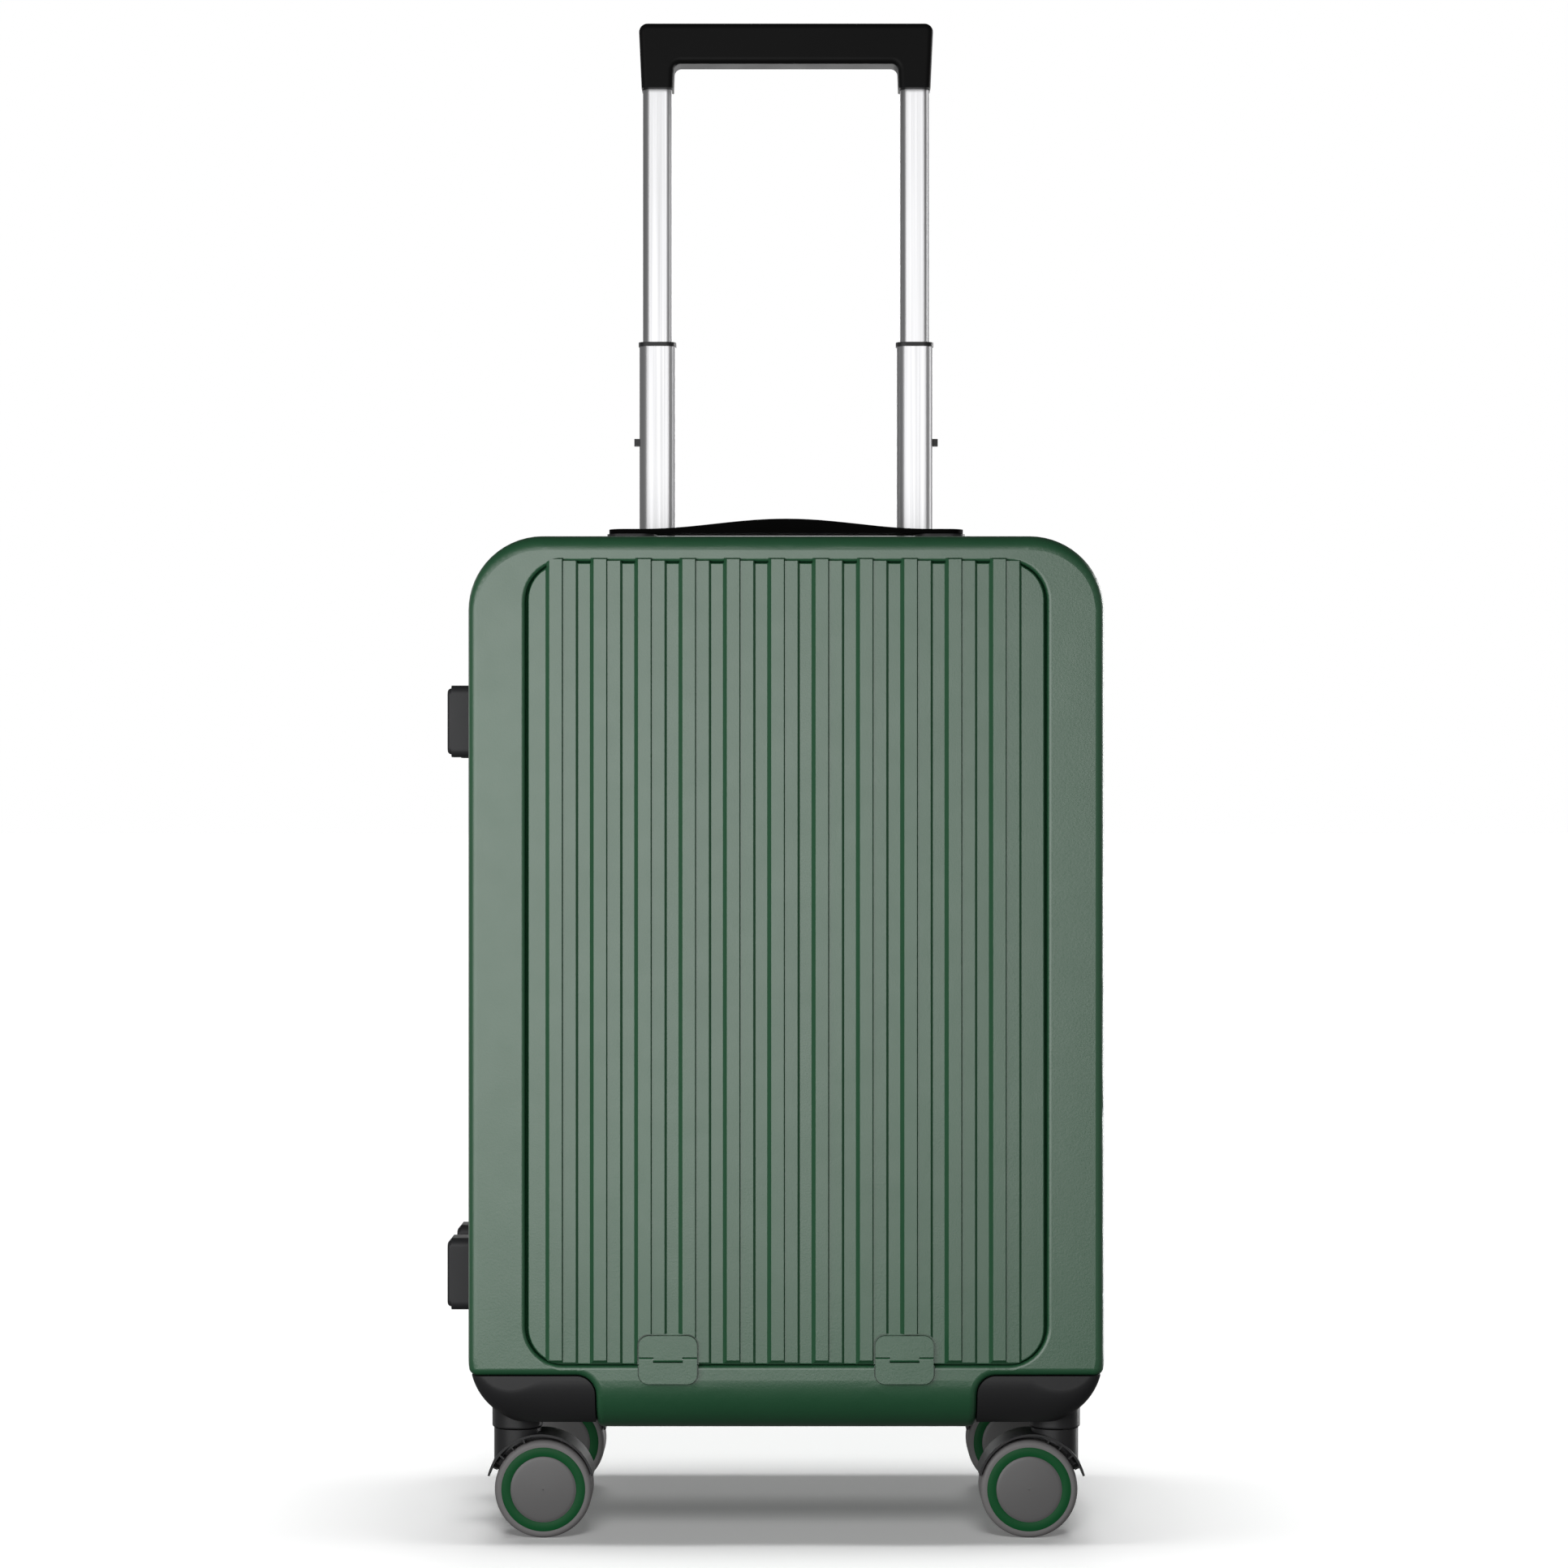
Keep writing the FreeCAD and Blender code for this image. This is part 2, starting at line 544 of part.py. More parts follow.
finish(feature("TapeRear", make_tape(1)), "zip_tape_rear")
finish(feature("TapeFront", make_tape(-1)), "zip_tape_front")
gusset = box("Gusset", "wall + 0.8 - zip_half_width", -4.5, HINGE_LOW + 0.3,
             1.2, 19.5, HINGE_HIGH - HINGE_LOW - 0.6)
finish(gusset, "hinge_gusset")

# zip sliders with their hanging pulls, above and below the lock
for name, z in (("upper", 352.0), ("lower", 250.0)):
    plate = box(f"slider_plate_{name}", "zip_half_width - 0.6", -4.5, z, 1.6, 9, 11)
    ear = box(f"slider_ear_{name}", "zip_half_width + 0.9", -1.1, z + 1, 1.9, 2.2, 6)
    slider = fuse(f"ZipSlider_{name}", plate, ear)
    hole = cylinder(f"slider_hole_{name}", "zip_half_width + 1.9", -5, z + 4, 0.55, 10, "Y")
    finish(cut(f"slider_{name}", slider, hole), f"zip_slider_{name}")
    tab = box(f"pull_tab_{name}", "zip_half_width + 1.3", -3.5, z + 2.6 - PULL_LONG, 1.2, 7, PULL_LONG)
    window = box(f"pull_window_{name}", "zip_half_width", -1.5, z, 6, 3, 9)
    bar = cylinder(f"pull_bar_{name}", "zip_half_width + 1.9", -3.5, z + 4, 0.5, 7, "Y")
    loops = [box(f"pull_side_{name}_{n}", "zip_half_width + 1.3", y, z + 2, 1.2, 1.7, 2.7)
             for n, y in enumerate((-3.5, 1.8))]
    body = fuse(f"ZipPull_{name}", cut(f"tab_{name}", tab, window), bar, *loops)
    finish(body, f"zip_pull_{name}")


# ---------------------------------------------------------------- side feet
def foot(name, y, z, shell):
    """Base plate against the shell, body and a slightly smaller cap, as one moulded foot."""
    half, tall = "foot_depth / 2", "foot_height"
    base = box(f"{name}_base", "-zip_half_width - foot_base + 0.75", f"{y} - {half} - 1.8",
               f"{z} - {tall} / 2 - 1.8", "foot_base + 1", "foot_depth + 3.6", "foot_height + 3.6")
    reach = "foot_reach - zip_half_width - foot_cap + 0.4"
    block = box(f"{name}_block", "foot_cap - foot_reach", f"{y} - {half}", f"{z} - {tall} / 2",
                reach, "foot_depth", "foot_height")
    cap = box(f"{name}_cap", "-foot_reach", f"{y} - {half} + 1.6", f"{z} - {tall} / 2 + 1.6",
              "foot_cap + 1", "foot_depth - 3.2", "foot_height - 3.2")
    soft_base = rounded(f"{name}_base_soft", base, 6.3, lambda edge: along(edge, X_AXIS))
    soft_block = rounded(f"{name}_block_soft", block, 4.5, lambda edge: along(edge, X_AXIS))
    soft_cap = rounded(f"{name}_cap_soft", cap, 3.7, lambda edge: along(edge, X_AXIS))
    doc.recompute()
    face_x = soft_cap.Shape.BoundBox.XMin
    edge_cap = rounded(f"{name}_cap_edge", soft_cap, 2.0, lambda edge: edge.BoundBox.XMax < face_x + 0.01)
    return cut(name, fuse(f"{name}_whole", soft_base, soft_block, edge_cap), shell)


for label, sign in (("front", "-1"), ("rear", "1")):
    shell_solid = doc.getObject(f"{label}_outer")
    pair = [foot(f"foot_{label}_{level}", f"{sign} * foot_y", f"foot_{level}", shell_solid)
            for level in ("upper", "lower")]
    finish(group(f"SideFeet_{label}", *pair), f"side_feet_{label}")


# ---------------------------------------------------------------- zip lock
lock_case = box("lock_case", 165, LOCK_Y, LOCK_LOW, 8.9, LOCK_DEPTH, LOCK_TALL)
lock_soft = rounded("lock_soft", lock_case, 4.0, lambda edge: along(edge, X_AXIS))
DIAL_RADIUS, DIAL_TALL, DIAL_X = 6.2, 5.0, 168.3
dial_y = LOCK_Y + LOCK_DEPTH / 2
dial_lows = [LOCK_LOW + 10 + 9 * n for n in range(3)]
windows = [box(f"dial_window_{n}", 160, dial_y - 7, low - 0.4, 20, 14, DIAL_TALL + 0.8)
           for n, low in enumerate(dial_lows)]
release_low = LOCK_LOW + 42
release_slot = box("release_slot", 171, dial_y - 5.3, release_low - 0.3, 10, 10.6, 16.6)
spindle_hole = cylinder("spindle_hole", DIAL_X, dial_y, LOCK_LOW - 1, 1.5, 40)
lock = cut("lock", lock_soft, *windows, release_slot)
spindle = cylinder("spindle", DIAL_X, dial_y, LOCK_LOW + 4, 1.5, 32)
finish(fuse("LockBody", lock, spindle), "lock_body")
for number, low in enumerate(dial_lows, start=1):
    wheel = cylinder(f"dial_wheel_{number}", DIAL_X, dial_y, low, DIAL_RADIUS, DIAL_TALL)
    hole = cylinder(f"dial_hole_{number}", DIAL_X, dial_y, low - 1, 1.55, DIAL_TALL + 2)
    finish(cut(f"dial_{number}", wheel, hole), f"lock_dial_{number}")
button = box("release", 171.4, dial_y - 5, release_low, 3.1, 10, 12)
finish(rounded("Release", button, 1.5, lambda edge: along(edge, X_AXIS)), "lock_release")


# ---------------------------------------------------------------- casters
def make_housing(side_x, side_y):
    """Corner moulding that follows the shell's skin, with the swivel boss under it."""
    skin = shell_block(f"housing_skin_{side_x}_{side_y}".replace("-", "m"), side_y, 0.7, S.housing_back - 20)
    body = skin.common(corner_block(side_x, side_y, 0))
    lift = Part.makeBox(400, 400, S.housing_low, Vector(-200, -200, 0))
    body = body.cut(lift)
    inner = shell_block(f"housing_room_{side_x}_{side_y}".replace("-", "m"), side_y, 3.4, S.housing_back - 20)
    room = inner.common(corner_block(side_x, side_y, -2.7))
    room = room.cut(Part.makeBox(400, 400, S.housing_low + 2.6, Vector(-200, -200, 0)))
    opened = room.copy()
    opened.translate(Vector(0, 0, 6))
    room = room.fuse(opened)
    x, y = side_x * S.stem_x, side_y * S.stem_y
    boss = Part.makeCylinder(S.boss_radius, S.boss_high - S.boss_low, Vector(x, y, S.boss_low))
    lip = [edge for edge in boss.Edges if edge.BoundBox.ZMax < S.boss_low + 0.01]
    boss = boss.makeFillet(1.0, [edge for edge in lip if type(edge.Curve).__name__ == "Circle"])
    body = body.cut(room).fuse(boss)
    bore = Part.makeCylinder(S.stem_radius + 0.06, 40, Vector(x, y, S.boss_low - 5))
    return body.cut(bore).removeSplitter()


def make_fork(side_x, side_y):
    """Swivel block, arched mudguard over both wheels and the web between them."""
    x, y = side_x * S.stem_x, side_y * S.stem_y
    wheel_x, wheel_z = side_x * (S.stem_x - S.trail), S.wheel_radius
    half = S.web_half + S.wheel_gap + S.wheel_width + 0.8

    def disc(radius, half_width, back=0, lift=0):
        centre = Vector(wheel_x + side_x * back, y - half_width, wheel_z + lift)
        return Part.makeCylinder(radius, 2 * half_width, centre, Y_AXIS)

    def sector(first, last, reach):
        """Wedge about the axle from one angle to another, measured from the trailing side."""
        points = [Vector(wheel_x, y - 20, wheel_z)]
        steps = 6
        for step in range(steps + 1):
            turn = math.radians(first + (last - first) * step / steps)
            points.append(points[0] + Vector(-side_x * reach * math.cos(turn), 0, reach * math.sin(turn)))
        return Part.Face(Part.makePolygon(points + points[:1])).extrude(Vector(0, 40, 0))

    block = Part.makeCylinder(12.8, S.fork_top - 40.5, Vector(x, y, 40.5))
    # the mudguard hugs the trailing side of the wheels and stands off on the stem's side
    off = (S.fender_back, S.fender_lift)
    guard = disc(S.fender_outer, half, *off).cut(disc(S.fender_inner, half + 1, *off))
    guard = guard.common(sector(16, 166, 60))
    web = disc(S.fender_inner + 0.5, S.web_half).common(sector(70, 160, 60))
    hub = disc(7.0, S.web_half)
    room = disc(S.fender_inner, half + 2).cut(disc(S.fender_inner + 1, S.web_half))
    fork = block.cut(room).multiFuse([guard, web, hub])
    fork = fork.common(Part.makeBox(200, 200, S.fork_top, Vector(x - 100, y - 100, 0)))
    # ribs under the guard on the stem's side
    rib_low, rib_long = S.wheel_radius + 0.5, 3.2
    for turn in (112, 127, 142, 156):
        angle = math.radians(turn)
        start = Vector(wheel_x, y, wheel_z)
        out = Vector(-side_x * math.cos(angle), 0, math.sin(angle))
        rib = Part.makeBox(rib_long, 2 * half - 1, 0.9, Vector(0, -half + 0.5, -0.45))
        rib.Placement = Placement(start + out * rib_low, Rotation(X_AXIS, out))
        fork = fork.fuse(rib)
    axle_bore = disc(S.axle_radius + 0.05, 10)
    stem_seat = Part.makeCylinder(S.stem_radius, 20, Vector(x, y, S.fork_top - S.stem_seat))
    return fork.cut(axle_bore).cut(stem_seat).removeSplitter()


def make_caster(place, side_x, side_y):
    x, y = f"{side_x} * stem_x", f"{side_y} * stem_y"
    wheel_x = f"{side_x} * (stem_x - trail)"
    finish(feature(f"Housing_{place}", make_housing(side_x, side_y)), f"caster_housing_{place}")
    finish(feature(f"Fork_{place}", make_fork(side_x, side_y)), f"caster_fork_{place}")
    shank = cylinder(f"shank_{place}", x, y, "fork_top - stem_seat", "stem_radius",
                     "boss_high + 0.3 - fork_top + stem_seat")
    head = cylinder(f"head_{place}", x, y, "boss_high + 0.3", 7, 2.4)
    finish(fuse(f"Stem_{place}", shank, head), f"caster_stem_{place}")
    reach = "web_half + wheel_gap + wheel_width - 1.2"
    axle = cylinder(f"axle_{place}", wheel_x, f"{y} - ({reach})", "wheel_radius", "axle_radius",
                    f"2 * ({reach})", "Y")
    finish(axle, f"caster_axle_{place}")
    hubs, tyres = [], []
    for face, way in (("front", -1), ("rear", 1)):
        tag = f"{place}_{face}"
        inner = "web_half + wheel_gap"
        near = f"{y} + {way} * ({inner} + wheel_width / 2) - wheel_width / 2"
        disc = cylinder(f"disc_{tag}", wheel_x, near, "wheel_radius", "tyre_inner", "wheel_width", "Y")
        bore = cylinder(f"bore_{tag}", wheel_x, f"{y} - ({reach})", "wheel_radius", "axle_radius",
                        f"2 * ({reach})", "Y")
        face_y = f"{y} + {way} * ({inner} + wheel_width - ring_groove / 2) - ring_groove / 2"
        around = cylinder(f"groove_out_{tag}", wheel_x, face_y, "wheel_radius", "tyre_inner + 1",
                          "ring_groove", "Y")
        within = cylinder(f"groove_in_{tag}", wheel_x, face_y, "wheel_radius", "ring_inner",
                          "ring_groove", "Y")
        groove = cut(f"groove_{tag}", around, within)
        hubs.append(cut(f"hub_{tag}", disc, bore, groove))
        tread = cylinder(f"tread_{tag}", wheel_x, near, "wheel_radius", "wheel_radius", "wheel_width", "Y")
        soft = rounded(f"tread_soft_{tag}", tread, 2.6, lambda edge: type(edge.Curve).__name__ == "Circle")
        eye = cylinder(f"eye_{tag}", wheel_x, near, "wheel_radius", "tyre_inner", "wheel_width", "Y")
        tyres.append(cut(f"tyre_{tag}", soft, eye))
    finish(group(f"Hubs_{place}", *hubs), f"caster_hubs_{place}")
    finish(group(f"Tyres_{place}", *tyres), f"caster_tyres_{place}")


for end, side_y in (("front", -1), ("rear", 1)):
    for hand, side_x in (("left", -1), ("right", 1)):
        make_caster(f"{end}_{hand}", side_x, side_y)


# ---------------------------------------------------------------- telescopic handle
def standing_tube(name, width, depth, radius, low, high):
    numbers = (getattr(S, width), getattr(S, depth), radius, S.tube_skin)
    body = tube(name, width, depth, str(radius), "tube_skin", f"{high} - {low}", numbers)
    return at(body, "tube_x", "tube_y", low)


# slots on the outer side of each tube let the lock pins pass
outer = standing_tube("OuterTube", "outer_width", "outer_depth", 6.6, "outer_low", "outer_high")
keyway = box("outer_keyway", "tube_x + 5", f"tube_y - {PIN_WIDE / 2 + 0.6}", "outer_low + 20",
             20, PIN_WIDE + 1.2, "outer_high")
outer_one = cut("outer_slotted", outer, keyway)
finish(group("OuterTubes", outer_one, mirrored(outer_one)), "outer_tubes")

middle = standing_tube("MiddleTube", "middle_width", "middle_depth", 5.4, "middle_low", "middle_high")
slot = box("middle_slot", "tube_x + 5", f"tube_y - {PIN_WIDE / 2 + 0.35}", "lock_pin_height - 151.5",
           20, PIN_WIDE + 0.7, "151.5 + 2.6")
middle_one = cut("middle_slotted", middle, slot)
finish(group("MiddleTubes", middle_one, mirrored(middle_one)), "middle_tubes")

inner = standing_tube("InnerTube", "inner_width", "inner_depth", 4.2, "inner_low", "inner_high")
pin_hole = box("pin_hole", "tube_x + 5", f"tube_y - {PIN_WIDE / 2 + 0.35}", "lock_pin_height - 2.6",
               20, PIN_WIDE + 0.7, 5.2)
inner_one = cut("inner_holed", inner, pin_hole)
finish(group("InnerTubes", inner_one, mirrored(inner_one)), "inner_tubes")


def make_collars():
    """Black guide at the top of each middle tube: a lip and a sleeve inside the tube."""
    collars = []
    gap = 0.3
    for x in (-S.tube_x, S.tube_x):
        def prism(wide, deep, radius, low, high):
            block = Part.makeBox(wide, deep, high - low, Vector(x - wide / 2, S.tube_y - deep / 2, low))
            return block.makeFillet(radius, [edge for edge in block.Edges if along(edge, Z_AXIS)])
        top = S.middle_high + S.collar_lip
        lip = prism(S.middle_width + 1, S.middle_depth + 1, 5.8, S.middle_high, top)
        skin = S.tube_skin + 0.02
        sleeve = prism(S.middle_width - 2 * skin, S.middle_depth - 2 * skin, 4.4, top - 24, top - 1)
        hole = prism(S.inner_width + 2 * gap, S.inner_depth + 2 * gap, 4.4, top - 30, top + 5)
        collars.append(lip.fuse(sleeve).cut(hole).removeSplitter())
    return Part.makeCompound(collars)


finish(feature("Collars", make_collars()), "tube_collars")

for hand, sign in (("left", -1), ("right", 1)):
    long = "lock_pin_reach - 2.2"
    pin = box(f"LockPin_{hand}", f"{sign} * (tube_x + lock_pin_reach / 2 + 1.1) - ({long}) / 2",
              f"tube_y - {PIN_WIDE / 2}", f"lock_pin_height - {PIN_TALL / 2}", long, PIN_WIDE, PIN_TALL)
    finish(pin, f"lock_pin_{hand}")


def soft_box(name, half_x, half_y, low, high, radius):
    base = box(name, f"-({half_x})", f"tube_y - ({half_y})", low, f"2 * ({half_x})", f"2 * ({half_y})",
               f"{high} - ({low})")
    return rounded(name + "_soft", base, radius, lambda edge: along(edge, Z_AXIS))


def make_grip():
    """U-shaped hollow grip: soft bar, two legs over the tubes, a slot for the button."""
    half_d = S.grip_depth / 2
    face = -half_d + S.tube_y
    lean = S.grip_top_half - S.grip_low_half
    points = [(-S.grip_low_half, S.grip_low), (-S.grip_low_half - lean, S.grip_high),
              (S.grip_top_half, S.grip_high), (S.grip_low_half, S.grip_low),
              (S.grip_opening_half + 0.5, S.grip_low), (S.grip_opening_half, S.grip_bar_low),
              (-S.grip_opening_half, S.grip_bar_low), (-S.grip_opening_half - 0.5, S.grip_low)]
    wire = Part.makePolygon([Vector(x, face, z) for x, z in points + points[:1]])
    body = Part.Face(wire).extrude(Vector(0, 2 * half_d, 0))
    top = [edge for edge in body.Edges if along(edge, Y_AXIS) and edge.CenterOfMass.z > S.grip_high - 1]
    body = body.makeFillet(5.0, top)
    under = [edge for edge in body.Edges
             if along(edge, Y_AXIS) and abs(edge.CenterOfMass.z - S.grip_bar_low) < 0.5]
    body = body.makeFillet(4.0, under)
    rims = [edge for edge in body.Edges
            if edge.BoundBox.YMax - edge.BoundBox.YMin < 0.01 and edge.CenterOfMass.z > S.grip_low + 0.5]
    body = body.makeFillet(3.4, rims)
    for side in (-1, 1):
        wide, deep = S.inner_width + 0.1, S.inner_depth + 0.1
        bore = Part.makeBox(wide, deep, CHANNEL_LOW + 0.5 - S.grip_low + 5,
                            Vector(side * S.tube_x - wide / 2, S.tube_y - deep / 2, S.grip_low - 5))
        bore = bore.makeFillet(4.2, [edge for edge in bore.Edges if along(edge, Z_AXIS)])
        body = body.cut(bore)
    channel = Part.makeBox(2 * S.tube_x + 12, 13, CHANNEL_HIGH - CHANNEL_LOW,
                           Vector(-S.tube_x - 6, S.tube_y - 6.5, CHANNEL_LOW))
    slot = Part.makeBox(2 * BUTTON_HALF + 0.6, 10.6, 20,
                        Vector(-BUTTON_HALF - 0.3, S.tube_y - 5.3, CHANNEL_HIGH - 1))
    slot = slot.makeFillet(3.0, [edge for edge in slot.Edges if along(edge, Z_AXIS)])
    return body.cut(channel).cut(slot).removeSplitter()


finish(feature("Grip", make_grip()), "grip")
cap = soft_box("button_cap", BUTTON_HALF, 5, LINK_HIGH + 4, "grip_high + 0.5", 2.7)
flange = soft_box("button_flange", BUTTON_HALF + 2, 6.2, LINK_HIGH, LINK_HIGH + 4.2, 3.0)
finish(fuse("GripButton", cap, flange), "grip_button")
link = box("link_bar", "-tube_x - 3", "tube_y - 3", LINK_LOW, "2 * tube_x + 6", 6, LINK_HIGH - LINK_LOW)
rods = [cylinder(f"rod_{hand}", f"{sign} * tube_x", "tube_y", "lock_pin_height + 7.2", 1.5,
                 f"{LINK_LOW + 1} - lock_pin_height - 7.2") for hand, sign in (("left", -1), ("right", 1))]
finish(fuse("PushRods", link, *rods), "push_rods")


def make_spring():
    """Bowed leaf spring: its ends rest on the channel's floor, its crown lifts the link bar."""
    half, thick, deep = 15.0, 0.6, 5.0
    low, high = CHANNEL_LOW, LINK_LOW
    over = Part.Arc(Vector(-half, 0, low + thick), Vector(0, 0, high), Vector(half, 0, low + thick)).toShape()
    under = Part.Arc(Vector(half, 0, low), Vector(0, 0, high - thick), Vector(-half, 0, low)).toShape()
    ends = [Part.makeLine(Vector(half, 0, low + thick), Vector(half, 0, low)),
            Part.makeLine(Vector(-half, 0, low), Vector(-half, 0, low + thick))]
    leaf = Part.Face(Part.Wire([over, ends[0], under, ends[1]])).extrude(Vector(0, deep, 0))
    leaf.translate(Vector(0, S.tube_y - deep / 2, 0))
    return leaf


finish(feature("ButtonSpring", make_spring()), "button_spring")


def make_bezel():
    """Tray in the top of the rear shell that takes the folded grip, with holes for the tubes."""
    half_x, half_y, skin, lip = S.tray_half_width, S.tray_half_depth, 2.0, 3.5
    low, high = S.tray_floor - 3.0, S.tray_rim

    def prism(hx, hy, z_from, z_to, radius):
        block = Part.makeBox(2 * hx, 2 * hy, z_to - z_from, Vector(-hx, S.tube_y - hy, z_from))
        return block.makeFillet(radius, [edge for edge in block.Edges if along(edge, Z_AXIS)])

    tray = prism(half_x + skin, half_y + skin, low, high - 0.5, 5)
    brim = prism(half_x + skin + lip, half_y + skin + lip, high - 5.5, high, 8)
    top = [edge for edge in brim.Edges if edge.BoundBox.ZMin > high - 0.01]
    brim = brim.makeFillet(1.6, top)
    tray = tray.fuse(brim).cut(prism(half_x, half_y, S.tray_floor, high + 1, 3.5))
    tray = tray.cut(rear_block.cut(rear_hollow).cut(
        prism(half_x + skin + 0.3, half_y + skin + 0.3, 500, 600, 1.0)))
    for side in (-1, 1):
        wide, deep = S.middle_width + 0.8, S.middle_depth + 0.8
        hole = Part.makeBox(wide, deep, 20, Vector(side * S.tube_x - wide / 2, S.tube_y - deep / 2, low - 5))
        hole = hole.makeFillet(5.8, [edge for edge in hole.Edges if along(edge, Z_AXIS)])
        key = Part.makeBox(S.lock_pin_reach + 0.35, PIN_WIDE + 1.2, 20,
                           Vector(min(side * S.tube_x, side * (S.tube_x + S.lock_pin_reach + 0.35)),
                                  S.tube_y - PIN_WIDE / 2 - 0.6, low - 5))
        tray = tray.cut(hole).cut(key)
    return max(tray.removeSplitter().Solids, key=lambda solid: solid.Volume)


finish(feature("Bezel", make_bezel()), "trolley_bezel")
bracket = box("bracket_bar", -95, "tube_y - 12", 69, 190, 24, "outer_low - 69")
finish(rounded("TubeBracket", bracket, 4.0, lambda edge: along(edge, Z_AXIS)), "tube_bracket")


# ---------------------------------------------------------------- carry handle
def make_carry_handle():
    """Low strap: flat tips over the end mounts, and a soft arch between them."""
    low, tip = S.carry_low, S.carry_tip
    half, arch = S.carry_half, S.carry_arch_half
    steps = 24
    top = []
    for step in range(steps + 1):
        x = -arch + 2 * arch * step / steps
        top.append((x, low + tip + (S.carry_rise - tip) * (0.5 + 0.5 * math.cos(math.pi * x / arch))))
    curve = Part.BSplineCurve()
    curve.interpolate([Vector(x, 0, z) for x, z in top])
    left, right = Vector(-half, 0, low), Vector(half, 0, low)
    edges = [Part.makeLine(left, Vector(-half, 0, low + tip)),
             Part.makeLine(Vector(-half, 0, low + tip), curve.StartPoint), curve.toShape(),
             Part.makeLine(curve.EndPoint, Vector(half, 0, low + tip)),
             Part.makeLine(Vector(half, 0, low + tip), right), Part.makeLine(right, left)]
    strap = Part.Face(Part.Wire(edges)).extrude(Vector(0, S.carry_depth, 0))
    strap.translate(Vector(0, S.carry_y - S.carry_depth / 2, 0))
    plan = Part.makeBox(2 * half, S.carry_depth, 60, Vector(-half, S.carry_y - S.carry_depth / 2, low - 20))
    plan = plan.makeFillet(9.0, [edge for edge in plan.Edges if along(edge, Z_AXIS)])
    return strap.common(plan)


finish(feature("CarryHandle", make_carry_handle()), "carry_handle")


def make_handle_bases():
    """Two low mounts on the rear shell's top, one under each tip of the strap."""
    bases = []
    low, high = 546.0, S.carry_low - 0.35
    for side in (-1, 1):
        middle = side * (S.carry_half - 13)
        block = Part.makeBox(28, S.carry_depth + 1, high - low,
                             Vector(middle - 14, S.carry_y - (S.carry_depth + 1) / 2, low))
        block = block.makeFillet(8.0, [edge for edge in block.Edges if along(edge, Z_AXIS)])
        bases.append(block.cut(rear_block))
    return Part.makeCompound(bases)


finish(feature("CarryBases", make_handle_bases()), "carry_handle_bases")


# ---------------------------------------------------------------- check and write
doc.recompute()
for obj in doc.Objects:
    bad = [word for word in obj.State if word in ("Invalid", "Error")]
    if bad:
        raise RuntimeError(f"{obj.Name} is {bad}")
os.makedirs("parts", exist_ok=True)
for obj in subparts:
    shape = obj.Shape
    if shape.isNull() or not shape.isValid():
        raise RuntimeError(f"{obj.Label} has no valid shape")
    shape.exportStep(os.path.join("parts", obj.Label + ".step"))
    print(f"{obj.Label}: {len(shape.Solids)} solids, {shape.Volume / 1000:.1f} cm3")
print(len(subparts), "sub-parts")
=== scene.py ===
"""Looks of the hard shell cabin suitcase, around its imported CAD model. Metres, +Z up, front is -Y."""
import json
import math

import bmesh
import bpy
from mathutils import Matrix, Vector


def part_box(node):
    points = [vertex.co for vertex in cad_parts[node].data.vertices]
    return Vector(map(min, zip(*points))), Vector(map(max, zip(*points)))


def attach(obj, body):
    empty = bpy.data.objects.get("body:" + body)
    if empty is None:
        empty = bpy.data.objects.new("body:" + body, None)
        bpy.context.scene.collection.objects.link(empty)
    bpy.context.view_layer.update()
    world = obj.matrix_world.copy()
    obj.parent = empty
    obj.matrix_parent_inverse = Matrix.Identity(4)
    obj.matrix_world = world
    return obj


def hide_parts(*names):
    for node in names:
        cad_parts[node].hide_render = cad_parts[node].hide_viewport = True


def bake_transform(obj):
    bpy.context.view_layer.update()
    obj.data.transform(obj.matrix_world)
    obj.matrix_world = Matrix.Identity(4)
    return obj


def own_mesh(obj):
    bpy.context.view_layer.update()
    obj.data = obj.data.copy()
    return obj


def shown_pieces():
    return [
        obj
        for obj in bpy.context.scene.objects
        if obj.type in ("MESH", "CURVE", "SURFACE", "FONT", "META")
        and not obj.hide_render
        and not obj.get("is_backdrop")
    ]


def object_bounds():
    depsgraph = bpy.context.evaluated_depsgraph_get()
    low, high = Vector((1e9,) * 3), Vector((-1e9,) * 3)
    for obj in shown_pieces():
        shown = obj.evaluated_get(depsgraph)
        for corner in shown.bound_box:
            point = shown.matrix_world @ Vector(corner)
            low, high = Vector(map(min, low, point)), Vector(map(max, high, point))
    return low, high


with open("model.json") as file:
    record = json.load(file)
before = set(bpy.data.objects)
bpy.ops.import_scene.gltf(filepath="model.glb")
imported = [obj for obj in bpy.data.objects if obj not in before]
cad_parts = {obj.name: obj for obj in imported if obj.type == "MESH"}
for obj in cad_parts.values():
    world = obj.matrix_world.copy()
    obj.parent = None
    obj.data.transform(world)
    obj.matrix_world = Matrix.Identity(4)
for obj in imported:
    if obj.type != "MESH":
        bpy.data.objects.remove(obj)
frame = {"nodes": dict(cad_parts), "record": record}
cad_low, cad_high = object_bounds()
NODES = frame["nodes"]
RECORD = frame["record"]
PLACES = ("front_left", "front_right", "rear_left", "rear_right")
MM = 0.001
UP = Vector((0, 0, 1))
OUT_OF_PLANE = Vector((0, 1, 0))        # out of the plane in which the straps and the band lie

